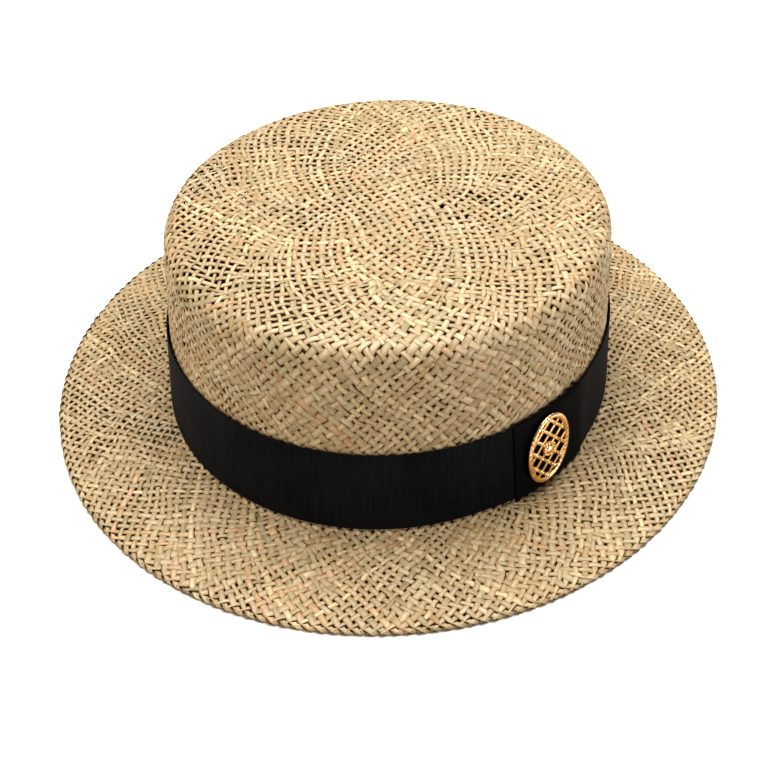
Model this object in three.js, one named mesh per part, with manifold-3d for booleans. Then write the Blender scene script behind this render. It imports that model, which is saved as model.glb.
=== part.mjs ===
// A flat-topped hat of woven straw, with a grosgrain ribbon, a ribbon keeper and a gilt openwork ornament.
// Millimetres, +Z up. The origin is on the plane that the hat rests on, under the middle of its crown.
// The wearer looks towards -Y, and the wearer's left is +X.
import * as THREE from 'three';
import Module from 'manifold-3d';
import { mergeVertices } from 'three/addons/utils/BufferGeometryUtils.js';

const GAP = 0.4; // clearance between neighbouring pieces

// Straw: crown and brim in one
const STRAW = 2.0; // thickness of the woven wall
const FOOT_SEMI_X = 88.4; // outer face of the crown's foot, side to side
const FOOT_SEMI_Y = 96.7; // outer face of the crown's foot, front to back
const LEAN_X = 2.9; // how far the side wall leans in up to its shoulder, at the sides
const LEAN_Y = 6.5; // the same, at the front and the back
const BRIM_WIDTH = 46.6; // from the crown's foot to the edge
const BRIM_DROP = 1.7; // how far the brim falls from the crown to its edge
const JOIN_FILLET = 1.2; // hollow curve between crown and brim, outside
const TURNED_EDGE = 3.5; // flat underside of the turned edge, which the hat rests on
const EDGE_ROUND = 0.8; // how far the edge's rounding reaches in
const EDGE_NOSE = 0.7; // height of the outermost line of the edge
const CROWN_TOP = 82.8; // height of the flat top at its middle
const CROWN_DOME = 1.0; // how much lower the top is where its shoulder starts
const SHOULDER_RADIUS = 7; // round between side wall and top
const BODY_SEGMENTS = 96; // facets round the hat
const CURVE_STEPS = 3; // straight steps in each curve of the profile, twice as many in an arc

// Ribbon band
const RIBBON = 1.0; // thickness of the grosgrain
const RIBBON_WIDTH = 33.3;
const RIBBON_RISE = 1.7; // bare straw between brim and ribbon
const BAND_SEGMENTS = 120;

// Keeper: the same ribbon, folded round the band
const KEEPER_WIDTH = 37;
const KEEPER_AZIMUTH = -32.9; // direction of its middle, in degrees from +X
const KEEPER_SLANT = 0.07; // how far it leans sideways for each millimetre down
const KEEPER_SEGMENTS = 8;
const FOLD_RADIUS = 0.9; // outer corner of the ribbon's fold
const CREASE_RADIUS = 0.25; // inner corner of the ribbon's fold
const LOWER_FOLD = 0.7; // the fold under the band is pressed thinner
const FOLD_STEPS = 2; // straight steps in each of its corners
const BULGE_EASE = 12; // length over which the band swings out to let the keeper pass behind

// Ornament: an oval ring with a lattice and a boss, cast in one
const ORNAMENT_WIDTH = 22;
const ORNAMENT_HEIGHT = 31;
const ORNAMENT_SHIFT = -3.5; // from the keeper's middle, along the ribbon towards the front
const ORNAMENT_RISE = 1.2; // above the ribbon's middle
const ORNAMENT_RING = 2.4; // width of the ring
const ORNAMENT_DEPTH = 1.8; // thickness of the ring
const ORNAMENT_STAND = 0.5; // from the keeper's face to the ornament's back
const LATTICE_DEPTH = 1.2;
const LATTICE_BAR = 1.5; // width of a bar
const LATTICE_PITCH = 4.6; // spacing of the bars
const LATTICE_REACH = 3; // how many bars lie on each side of the middle one
const BOSS_RADIUS = 3.2;
const BOSS_FACE = 2.2; // radius of the boss at its front
const BOSS_DEPTH = 2.6;
const OVAL_STEPS = 24; // half the facets round the oval

// Sizes that follow from the ones above
const HEAD_MEAN = Math.sqrt(FOOT_SEMI_X * FOOT_SEMI_Y); // radius of the foot, before it is made oval
const SHOULDER_MEAN = Math.sqrt((FOOT_SEMI_X - LEAN_X) * (FOOT_SEMI_Y - LEAN_Y));
const FOOT_STRETCH = Math.sqrt(FOOT_SEMI_Y / FOOT_SEMI_X); // how oval the crown is at its foot
const SHOULDER_STRETCH = Math.sqrt((FOOT_SEMI_Y - LEAN_Y) / (FOOT_SEMI_X - LEAN_X));
const BRIM_TOP = STRAW + BRIM_DROP; // upper face of the brim at the crown
const EDGE_RADIUS = HEAD_MEAN + BRIM_WIDTH;
const SHOULDER_BASE = CROWN_TOP - CROWN_DOME - SHOULDER_RADIUS; // where the side wall ends
const WALL_HEIGHT = SHOULDER_BASE - BRIM_TOP;
const RIBBON_BASE = BRIM_TOP + RIBBON_RISE;
const KEEPER_TURN = THREE.MathUtils.degToRad(KEEPER_AZIMUTH);
const KEEPER_ANGLE = Math.atan2(Math.sin(KEEPER_TURN) / FOOT_SEMI_Y, Math.cos(KEEPER_TURN) / FOOT_SEMI_X);

const STRAW_FINISH = new THREE.MeshStandardMaterial({ color: 0xc9b184, roughness: 0.85, metalness: 0 });
const GROSGRAIN_FINISH = new THREE.MeshStandardMaterial({ color: 0x0d0c0d, roughness: 0.6, metalness: 0 });
const GILT_FINISH = new THREE.MeshStandardMaterial({ color: 0xd9b26a, roughness: 0.3, metalness: 1 });

/** Radius of the side wall's outer face, on the round profile, at a height. */
function wallRadius(height) {
  return THREE.MathUtils.lerp(HEAD_MEAN, SHOULDER_MEAN, (height - BRIM_TOP) / WALL_HEIGHT);
}

/** Makes the round profile oval: stretched up to the crown's foot, and moved out evenly on the brim. */
function ovalPoint(radius, angle, height) {
  const rise = THREE.MathUtils.clamp((height - BRIM_TOP) / WALL_HEIGHT, 0, 1);
  const stretch = THREE.MathUtils.lerp(FOOT_STRETCH, SHOULDER_STRETCH, rise);
  const within = Math.min(radius, HEAD_MEAN);
  const beyond = radius - within;
  const x = (within / stretch + beyond) * Math.cos(angle);
  const y = (within * stretch + beyond) * Math.sin(angle);
  return new THREE.Vector3(x, y, height);
}

/** Moves every vertex of a geometry to the place that a function gives for it. */
function remap(geometry, place) {
  const position = geometry.getAttribute('position');
  const vertex = new THREE.Vector3();
  for (let i = 0; i < position.count; i += 1) {
    const moved = place(vertex.fromBufferAttribute(position, i));
    position.setXYZ(i, moved.x, moved.y, moved.z);
  }
  geometry.computeVertexNormals();
  return geometry;
}

/** Turns a closed profile of (radius, height) about Z, then places each vertex by a function of the three. */
function ovalLathe(profile, segments, place) {
  const round = new THREE.LatheGeometry(profile, segments).rotateX(Math.PI / 2);
  return remap(round, (v) => place(Math.hypot(v.x, v.y), Math.atan2(v.y, v.x), v.z));
}

/** Upper and outer face of the straw, from the edge in to the middle of the top. */
function outerFace() {
  const face = new THREE.Path();
  const brimFoot = HEAD_MEAN + JOIN_FILLET;
  const shoulderInset = wallRadius(SHOULDER_BASE) - SHOULDER_RADIUS;
  face.moveTo(EDGE_RADIUS, EDGE_NOSE);
  face.quadraticCurveTo(EDGE_RADIUS, STRAW, EDGE_RADIUS - EDGE_ROUND, STRAW);
  face.quadraticCurveTo((EDGE_RADIUS + brimFoot) / 2, BRIM_TOP, brimFoot, BRIM_TOP);
  face.quadraticCurveTo(HEAD_MEAN, BRIM_TOP, wallRadius(BRIM_TOP + JOIN_FILLET), BRIM_TOP + JOIN_FILLET);
  face.lineTo(wallRadius(SHOULDER_BASE), SHOULDER_BASE);
  face.absarc(shoulderInset, SHOULDER_BASE, SHOULDER_RADIUS, 0, Math.PI / 2);
  face.quadraticCurveTo(shoulderInset / 2, CROWN_TOP, 0, CROWN_TOP);
  return face.getPoints(CURVE_STEPS);
}

/** Lower and inner face of the straw, from the middle of the top out to the edge. */
function innerFace() {
  const face = new THREE.Path();
  const innerShoulder = SHOULDER_RADIUS - STRAW;
  const innerFoot = HEAD_MEAN - STRAW;
  const shoulderInset = wallRadius(SHOULDER_BASE) - SHOULDER_RADIUS;
  const flatStart = EDGE_RADIUS - EDGE_ROUND - TURNED_EDGE;
  const hollowTop = CROWN_TOP - STRAW;
  face.moveTo(0, hollowTop);
  face.quadraticCurveTo(shoulderInset / 2, hollowTop, shoulderInset, hollowTop - CROWN_DOME);
  face.absarc(shoulderInset, SHOULDER_BASE, innerShoulder, Math.PI / 2, 0, true);
  face.lineTo(innerFoot, BRIM_TOP + JOIN_FILLET);
  face.quadraticCurveTo(innerFoot, BRIM_DROP, HEAD_MEAN + JOIN_FILLET, BRIM_DROP);
  face.quadraticCurveTo((EDGE_RADIUS + innerFoot) / 2, BRIM_DROP, flatStart, 0);
  face.lineTo(EDGE_RADIUS - EDGE_ROUND, 0);
  face.quadraticCurveTo(EDGE_RADIUS, 0, EDGE_RADIUS, EDGE_NOSE);
  return face.getPoints(CURVE_STEPS);
}

/** The crown and brim: one hollow woven shell, resting on the flat underside of its turned edge. */
function wovenBody() {
  const profile = [...innerFace().slice(0, -1), ...outerFace()];
  const geometry = ovalLathe(profile, BODY_SEGMENTS, ovalPoint);
  const body = new THREE.Mesh(geometry, STRAW_FINISH);
  body.name = 'woven_body';
  return body;
}

/** Millimetres of the crown's outline per radian of its parameter angle. */
function outlineSpeed(angle) {
  return Math.hypot(FOOT_SEMI_X * Math.sin(angle), FOOT_SEMI_Y * Math.cos(angle));
}

/** A point beside the crown: along its outline from the keeper's middle, up, and out from the side wall. */
function besideCrown(along, height, out) {
  const angle = KEEPER_ANGLE + along / outlineSpeed(KEEPER_ANGLE);
  return ovalPoint(wallRadius(height) + out, angle, height);
}

/** How far the band stands off the straw at an angle: more where the keeper passes behind it. */
function bandOffset(angle) {
  const turn = Math.atan2(Math.sin(angle - KEEPER_ANGLE), Math.cos(angle - KEEPER_ANGLE));
  const past = Math.abs(turn) * outlineSpeed(KEEPER_ANGLE) - KEEPER_WIDTH / 2;
  const bulge = 1 - THREE.MathUtils.smoothstep(past, GAP, GAP + BULGE_EASE);
  return GAP + (RIBBON + GAP) * bulge;
}

/** The ribbon round the foot of the crown. */
function ribbonBand() {
  const low = RIBBON_BASE;
  const high = RIBBON_BASE + RIBBON_WIDTH;
  const profile = [
    new THREE.Vector2(HEAD_MEAN, low),
    new THREE.Vector2(HEAD_MEAN + RIBBON, low),
    new THREE.Vector2(HEAD_MEAN + RIBBON, high),
    new THREE.Vector2(HEAD_MEAN, high),
    new THREE.Vector2(HEAD_MEAN, low),
  ];
  const place = (radius, angle, height) => {
    const out = bandOffset(angle) + radius - HEAD_MEAN;
    return ovalPoint(wallRadius(height) + out, angle, height);
  };
  const band = new THREE.Mesh(ovalLathe(profile, BAND_SEGMENTS, place), GROSGRAIN_FINISH);
  band.name = 'ribbon_band';
  return band;
}

/** A rectangle with round corners, drawn on a shape or on a hole. */
function roundedRectangle(outline, left, bottom, right, top, radius) {
  outline.moveTo(left + radius, bottom);
  outline.lineTo(right - radius, bottom);
  outline.absarc(right - radius, bottom + radius, radius, -Math.PI / 2, 0);
  outline.lineTo(right, top - radius);
  outline.absarc(right - radius, top - radius, radius, 0, Math.PI / 2);
  outline.lineTo(left + radius, top);
  outline.absarc(left + radius, top - radius, radius, Math.PI / 2, Math.PI);
  outline.lineTo(left, bottom + radius);
  outline.absarc(left + radius, bottom + radius, radius, Math.PI, Math.PI * 1.5);
  return outline;
}

/** The keeper: a flat loop of ribbon that wraps the band from top to bottom. */
function ribbonKeeper() {
  const inner = { left: GAP + RIBBON, right: 3 * GAP + 2 * RIBBON };
  inner.bottom = RIBBON_BASE - GAP;
  inner.top = RIBBON_BASE + RIBBON_WIDTH + GAP;
  const outer = new THREE.Shape();
  const { left, right, bottom, top } = inner;
  roundedRectangle(outer, left - RIBBON, bottom - LOWER_FOLD, right + RIBBON, top + RIBBON, FOLD_RADIUS);
  outer.holes.push(roundedRectangle(new THREE.Path(), left, bottom, right, top, CREASE_RADIUS));
  const extrusion = { depth: KEEPER_WIDTH, steps: KEEPER_SEGMENTS };
  Object.assign(extrusion, { bevelEnabled: false, curveSegments: FOLD_STEPS });
  const flat = new THREE.ExtrudeGeometry(outer, extrusion);
  const middle = RIBBON_BASE + RIBBON_WIDTH / 2;
  const across = (v) => KEEPER_WIDTH / 2 - v.z + (middle - v.y) * KEEPER_SLANT;
  const geometry = remap(flat, (v) => besideCrown(across(v), v.y, v.x));
  const keeper = new THREE.Mesh(geometry, GROSGRAIN_FINISH);
  keeper.name = 'ribbon_keeper';
  return keeper;
}

/** An ellipse as a path, with its axes shrunk by an inset. */
function ovalOutline(path, inset) {
  return path.absellipse(0, 0, ORNAMENT_WIDTH / 2 - inset, ORNAMENT_HEIGHT / 2 - inset, 0, 2 * Math.PI);
}

/** A flat plate cut to a shape, from the ornament's back forward. */
function plate(shape, depth) {
  return new THREE.ExtrudeGeometry(shape, { depth, bevelEnabled: false, curveSegments: OVAL_STEPS });
}

/** One straight bar of the lattice, longer than the ornament, crossing it at 45 degrees. */
function latticeBar(shift, side) {
  const bar = new THREE.BoxGeometry(ORNAMENT_HEIGHT * 2, LATTICE_BAR, LATTICE_DEPTH);
  bar.translate(0, shift, LATTICE_DEPTH / 2);
  return bar.rotateZ((side * Math.PI) / 4);
}

/** A closed geometry as a solid that can be joined and cut. */
function solidOf(wasm, geometry) {
  const bare = geometry.clone();
  bare.deleteAttribute('normal');
  bare.deleteAttribute('uv');
  const merged = mergeVertices(bare);
  const vertProperties = new Float32Array(merged.getAttribute('position').array);
  const triVerts = new Uint32Array(merged.getIndex().array);
  return new wasm.Manifold(new wasm.Mesh({ numProp: 3, vertProperties, triVerts }));
}

/** A joined solid back as a geometry. */
function geometryOf(solid) {
  const mesh = solid.getMesh();
  const geometry = new THREE.BufferGeometry();
  geometry.setAttribute('position', new THREE.BufferAttribute(new Float32Array(mesh.vertProperties), 3));
  geometry.setIndex(new THREE.BufferAttribute(new Uint32Array(mesh.triVerts), 1));
  geometry.computeVertexNormals();
  return geometry;
}

/** The ornament's casting, lying flat with its back at zero: lattice trimmed to an oval, ring and boss. */
function ornamentCasting(wasm) {
  const ring = ovalOutline(new THREE.Shape(), 0);
  ring.holes.push(ovalOutline(new THREE.Path(), ORNAMENT_RING));
  const trim = solidOf(wasm, plate(ovalOutline(new THREE.Shape(), ORNAMENT_RING / 2), LATTICE_DEPTH));
  let casting = solidOf(wasm, plate(ring, ORNAMENT_DEPTH));
  for (let step = -LATTICE_REACH; step <= LATTICE_REACH; step += 1) {
    for (const side of [-1, 1]) {
      const bar = solidOf(wasm, latticeBar(step * LATTICE_PITCH, side));
      casting = casting.add(bar.intersect(trim));
    }
  }
  const boss = new THREE.CylinderGeometry(BOSS_FACE, BOSS_RADIUS, BOSS_DEPTH, OVAL_STEPS);
  boss.rotateX(Math.PI / 2).translate(0, 0, BOSS_DEPTH / 2);
  return geometryOf(casting.add(solidOf(wasm, boss)));
}

/** The ornament, set upright on the keeper's face and leaning with the side wall. */
function keeperOrnament(wasm) {
  const middle = RIBBON_BASE + RIBBON_WIDTH / 2 + ORNAMENT_RISE;
  const out = 3 * GAP + 3 * RIBBON + ORNAMENT_STAND;
  const ornament = new THREE.Mesh(ornamentCasting(wasm), GILT_FINISH);
  const shift = ORNAMENT_SHIFT;
  const along = besideCrown(shift + 1, middle, out).sub(besideCrown(shift - 1, middle, out)).normalize();
  const up = besideCrown(shift, middle + 1, out).sub(besideCrown(shift, middle - 1, out)).normalize();
  const forward = along.clone().cross(up);
  ornament.quaternion.setFromRotationMatrix(new THREE.Matrix4().makeBasis(along, up, forward));
  ornament.position.copy(besideCrown(shift, middle, out));
  ornament.name = 'ornament';
  return ornament;
}

const wasm = await Module();
wasm.setup();

const group = new THREE.Group();
group.add(wovenBody(), ribbonBand(), ribbonKeeper(), keeperOrnament(wasm));

export default group;
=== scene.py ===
"""A flat-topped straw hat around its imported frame: woven straws, ribbed ribbon, keeper and gilt ornament.

Lengths are in metres and +Z is up. The wearer looks towards -Y, and the wearer's left is +X. The frame gives
the outer sizes, and the rest is worked out from the named sizes of each class.
"""
from __future__ import annotations

import logging
import math
from collections import deque
from dataclasses import dataclass
from enum import Enum
from typing import Callable

import bpy
import numpy as np
from mathutils import Matrix, Vector

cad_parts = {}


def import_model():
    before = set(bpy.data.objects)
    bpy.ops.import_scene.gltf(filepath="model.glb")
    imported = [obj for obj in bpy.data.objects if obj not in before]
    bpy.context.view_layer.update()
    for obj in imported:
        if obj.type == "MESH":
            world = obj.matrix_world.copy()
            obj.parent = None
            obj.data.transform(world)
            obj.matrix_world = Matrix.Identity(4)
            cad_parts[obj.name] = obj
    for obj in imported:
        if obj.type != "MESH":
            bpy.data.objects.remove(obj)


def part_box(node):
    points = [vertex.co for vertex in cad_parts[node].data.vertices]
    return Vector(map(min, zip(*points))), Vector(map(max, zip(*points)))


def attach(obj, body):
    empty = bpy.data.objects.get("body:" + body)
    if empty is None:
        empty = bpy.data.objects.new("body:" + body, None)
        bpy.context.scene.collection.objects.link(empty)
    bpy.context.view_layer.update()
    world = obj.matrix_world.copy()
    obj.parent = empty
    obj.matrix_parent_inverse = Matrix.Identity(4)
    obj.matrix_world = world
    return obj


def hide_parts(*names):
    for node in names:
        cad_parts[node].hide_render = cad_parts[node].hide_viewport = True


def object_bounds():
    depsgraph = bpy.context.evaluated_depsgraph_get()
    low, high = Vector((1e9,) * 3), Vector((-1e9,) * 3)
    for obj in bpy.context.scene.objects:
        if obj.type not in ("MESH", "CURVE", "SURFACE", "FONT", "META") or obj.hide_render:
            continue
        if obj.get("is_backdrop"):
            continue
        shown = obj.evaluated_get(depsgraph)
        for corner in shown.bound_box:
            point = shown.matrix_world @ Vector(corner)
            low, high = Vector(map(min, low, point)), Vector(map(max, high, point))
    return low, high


log = logging.getLogger("straw_hat")

MM = 0.001
FULL_TURN = 2 * math.pi
QUARTER_TURN = math.pi / 2
TINY = 1e-6
SOFTENING = np.array([1.0, 2.0, 3.0, 2.0, 1.0]) / math.sqrt(19.0)


def smoothstep(low: float, high: float, value: np.ndarray) -> np.ndarray:
    """Returns 0 below low and 1 above high, with a smooth rise between them."""
    t = np.clip((np.asarray(value, float) - low) / (high - low), 0.0, 1.0)
    return t * t * (3 - 2 * t)


def wrapped(angle: np.ndarray) -> np.ndarray:
    """Returns an angle turned into the range from -pi to pi."""
    return (np.asarray(angle) + math.pi) % FULL_TURN - math.pi


def unit(rows: np.ndarray) -> np.ndarray:
    """Returns rows of vectors scaled to length 1."""
    return rows / np.maximum(np.linalg.norm(rows, axis=-1, keepdims=True), TINY**2)


def lengths_along(points: np.ndarray) -> np.ndarray:
    """Returns how far along a row of points each of them is."""
    return np.concatenate([[0.0], np.cumsum(np.linalg.norm(np.diff(points, axis=0), axis=1))])


# ------------------------------------------------------------------------------------------------ the form


@dataclass
class HatForm:
    """The smooth surface through the middle of the woven wall, from the top's middle to the brim's edge.

    It is a round profile, (radius, height) by distance from the top's middle, which is then made oval.

    Args:
        half_x: From the middle to the brim's edge, sideways.
        half_y: The same, front to back.
        top: Height of the flat top.
        brim_width: From the crown's foot to the brim's edge.
        brim_drop: How much lower the brim's edge is than the crown's foot.
        lean_x: How far the side wall leans in at each side.
        lean_y: The same at front and back.
        shoulder_radius: Rounding between the side wall and the top.
        dome: How much higher the top is in its middle.
        wall: Thickness of the frame's wall.
        inset: From the outer face in to the middle of the weave.
        join_radius: Rounding between the brim and the side wall.
        edge_lift: How far the brim's edge is turned up.
        edge_ease: Width of the strip that is turned up.
        rim_height: Height of the middle of the turned edge.
        rim_inset: From the brim's edge in to the middle of the turned edge.
        fineness: Step of the profile's tables.
        flat_steps: Points along each flat stretch of the profile.
        shoulder_steps: Points round the shoulder.
        join_steps: Points round the join.
    """

    half_x: float
    half_y: float
    top: float
    brim_width: float = 46.6 * MM
    brim_drop: float = 1.7 * MM
    lean_x: float = 2.9 * MM
    lean_y: float = 6.5 * MM
    shoulder_radius: float = 7.0 * MM
    dome: float = 1.0 * MM
    wall: float = 2.0 * MM
    inset: float = 0.25 * MM
    join_radius: float = 2.2 * MM
    edge_lift: float = 0.2 * MM
    edge_ease: float = 6.0 * MM
    rim_height: float = 0.95 * MM
    rim_inset: float = 1.05 * MM
    fineness: float = 0.1 * MM
    flat_steps: int = 400
    shoulder_steps: int = 80
    join_steps: int = 50

    def __post_init__(self) -> None:
        """Works out the round profile and its tables."""
        self.foot_x = self.half_x - self.brim_width
        self.foot_y = self.half_y - self.brim_width
        shoulder_x = self.foot_x - self.lean_x
        shoulder_y = self.foot_y - self.lean_y
        self.foot_radius = math.sqrt(self.foot_x * self.foot_y)
        self.shoulder_mean = math.sqrt(shoulder_x * shoulder_y)
        self.foot_stretch = math.sqrt(self.foot_y / self.foot_x)
        self.shoulder_stretch = math.sqrt(shoulder_y / shoulder_x)
        self.brim_top = self.wall + self.brim_drop
        self.edge_radius = self.foot_radius + self.brim_width
        self.rim_radius = self.edge_radius - self.rim_inset
        self.shoulder_base = self.top - self.dome - self.shoulder_radius
        self._make_tables()

    @classmethod
    def from_frame(cls) -> HatForm:
        """Returns the form sized by the frame's woven body."""
        low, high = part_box("woven_body")
        return cls((high.x - low.x) / 2, (high.y - low.y) / 2, high.z)

    def _rise(self, height: np.ndarray) -> np.ndarray:
        """Returns how far up the side wall a height is, from 0 at its foot to 1 at the shoulder."""
        return (np.asarray(height, float) - self.brim_top) / (self.shoulder_base - self.brim_top)

    def wall_radius(self, height: np.ndarray) -> np.ndarray:
        """Returns the radius of the side wall's outer face at a height."""
        return self.foot_radius + (self.shoulder_mean - self.foot_radius) * self._rise(height)

    def _outer_profile(self) -> np.ndarray:
        """Draws the outer face, from the top's middle to the brim's edge.

        Returns:
            Rows of (radius, height).
        """
        inset = float(self.wall_radius(self.shoulder_base)) - self.shoulder_radius
        across = np.linspace(0, inset, self.flat_steps)
        top = np.stack([across, self.top - self.dome * (across / inset) ** 2], 1)
        turn = np.linspace(QUARTER_TURN, 0, self.shoulder_steps)
        shoulder = np.stack([np.cos(turn), np.sin(turn)], 1) * self.shoulder_radius
        shoulder += [inset, self.shoulder_base]
        foot = self.brim_top + self.join_radius
        down = np.linspace(self.shoulder_base, foot, self.flat_steps)
        side = np.stack([self.wall_radius(down), down], 1)
        centre = float(self.wall_radius(foot)) + self.join_radius
        turn = np.linspace(math.pi, math.pi * 1.5, self.join_steps)
        join = np.stack([np.cos(turn), np.sin(turn)], 1) * self.join_radius + [centre, foot]
        out = np.linspace(centre, self.edge_radius, self.flat_steps)
        fall = (out - centre) / (self.edge_radius - centre)
        lift = self.edge_lift * smoothstep(self.edge_radius - self.edge_ease, self.edge_radius, out)
        brim = np.stack([out, self.brim_top - self.brim_drop * fall**2 + lift], 1)
        return np.concatenate([top[:-1], shoulder[:-1], side[:-1], join[:-1], brim])

    def _make_tables(self) -> None:
        """Moves the outer face in to the middle of the weave, and tabulates it by distance from its top."""
        outer = self._outer_profile()
        along = unit(np.gradient(outer, axis=0))
        normal = np.stack([-along[:, 1], along[:, 0]], 1)
        middle = outer - normal * self.inset
        middle[0, 0] = 0.0
        distance = lengths_along(middle)
        self.length = float(distance[-1])
        self.s = np.arange(0.0, self.length, self.fineness)
        self.r, self.z, self.nr, self.nz = (
            np.interp(self.s, distance, column) for column in (*middle.T, *normal.T)
        )

    def radius_at(self, s: np.ndarray) -> np.ndarray:
        """Returns the round profile's radius at a distance from the top's middle."""
        return np.interp(s, self.s, self.r)

    def stretch_at(self, height: np.ndarray) -> np.ndarray:
        """Returns how oval the outline is at a height."""
        rise = np.clip(self._rise(height), 0, 1)
        return self.foot_stretch + (self.shoulder_stretch - self.foot_stretch) * rise

    def oval(self, radius: np.ndarray, angle: np.ndarray, height: np.ndarray) -> np.ndarray:
        """Makes points of the round profile oval.

        Args:
            radius: Distance of each point from the middle line.
            angle: Its direction from that line.
            height: Its height.

        Returns:
            The points of the hat.
        """
        stretch = self.stretch_at(height)
        within = np.minimum(radius, self.foot_radius)
        beyond = radius - within
        x = (within / stretch + beyond) * np.cos(angle)
        y = (within * stretch + beyond) * np.sin(angle)
        return np.stack([x, y, np.broadcast_to(height, x.shape)], -1)

    def outward(self, angle: np.ndarray, height: np.ndarray) -> np.ndarray:
        """Finds the level direction that points straight out from the outline.

        Args:
            angle: Direction of each point from the middle line.
            height: Its height.

        Returns:
            The directions, of length 1.
        """
        stretch = self.stretch_at(height)
        level = np.stack([np.cos(angle) * stretch, np.sin(angle) / stretch, np.zeros_like(angle)], -1)
        return unit(level)

    def place(self, spot: np.ndarray) -> tuple[np.ndarray, np.ndarray]:
        """Puts flat spots on the hat.

        Args:
            spot: Rows of (x, y). Their length is the distance from the top's middle along the surface, and
                their direction is the direction from it.

        Returns:
            The points, and the normals of the surface there.
        """
        s = np.hypot(spot[:, 0], spot[:, 1])
        angle = np.arctan2(spot[:, 1], spot[:, 0])
        radius, height, nr, nz = (np.interp(s, self.s, t) for t in (self.r, self.z, self.nr, self.nz))
        normal = self.outward(angle, height) * nr[:, None]
        normal[:, 2] = nz
        return self.oval(radius, angle, height), unit(normal)

    def speed(self, angle: float) -> float:
        """Returns the length of the crown's outline for each radian at an angle."""
        return math.hypot(self.foot_x * math.sin(angle), self.foot_y * math.cos(angle))

    def angle_towards(self, turn: float) -> float:
        """Returns the profile's angle at the crown's foot for a direction on the finished hat."""
        return math.atan2(math.sin(turn) / self.foot_y, math.cos(turn) / self.foot_x)

    def beside(self, middle: float, along: np.ndarray, height: np.ndarray, out: np.ndarray) -> np.ndarray:
        """Finds points beside the crown.

        Args:
            middle: Angle that the points are placed from.
            along: How far from there they are, along the outline.
            height: Their height.
            out: How far they are out from the wall.

        Returns:
            The points.
        """
        angle = middle + np.asarray(along, float) / self.speed(middle)
        return self.oval(self.wall_radius(height) + out, angle, np.asarray(height, float))


# ------------------------------------------------------------------------------------------- weave layout


@dataclass
class Drift:
    """A slow change over the hat: a sum of long waves in random directions.

    Args:
        rng: Where the waves are drawn from.
        longest: Longest wave.
        shortest: Shortest wave.
        waves: How many there are.
    """

    rng: np.random.Generator
    longest: float = 85.0 * MM
    shortest: float = 32.0 * MM
    waves: int = 10

    def __post_init__(self) -> None:
        """Draws the waves."""
        heading = self.rng.uniform(0, FULL_TURN, self.waves)
        pace = FULL_TURN / self.rng.uniform(self.shortest, self.longest, self.waves)
        self.across = np.stack([np.cos(heading), np.sin(heading)]) * pace
        self.phase = self.rng.uniform(0, FULL_TURN, self.waves)

    def at(self, spots: np.ndarray) -> np.ndarray:
        """Returns the change at flat spots, mostly between -1 and 1."""
        return np.cos(spots @ self.across + self.phase).sum(1) / math.sqrt(self.waves)


@dataclass
class Straw:
    """One straw of the weave, as it passes its crossings from one end at the edge to the other.

    Args:
        spots: Flat spots of its crossings, in order.
        sides: 1 where it passes over, -1 where it passes under, 0 where it is folded.
        room: How far apart the straws beside it are at each spot, as a part of the usual pitch.
    """

    spots: np.ndarray
    sides: np.ndarray
    room: np.ndarray


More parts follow.
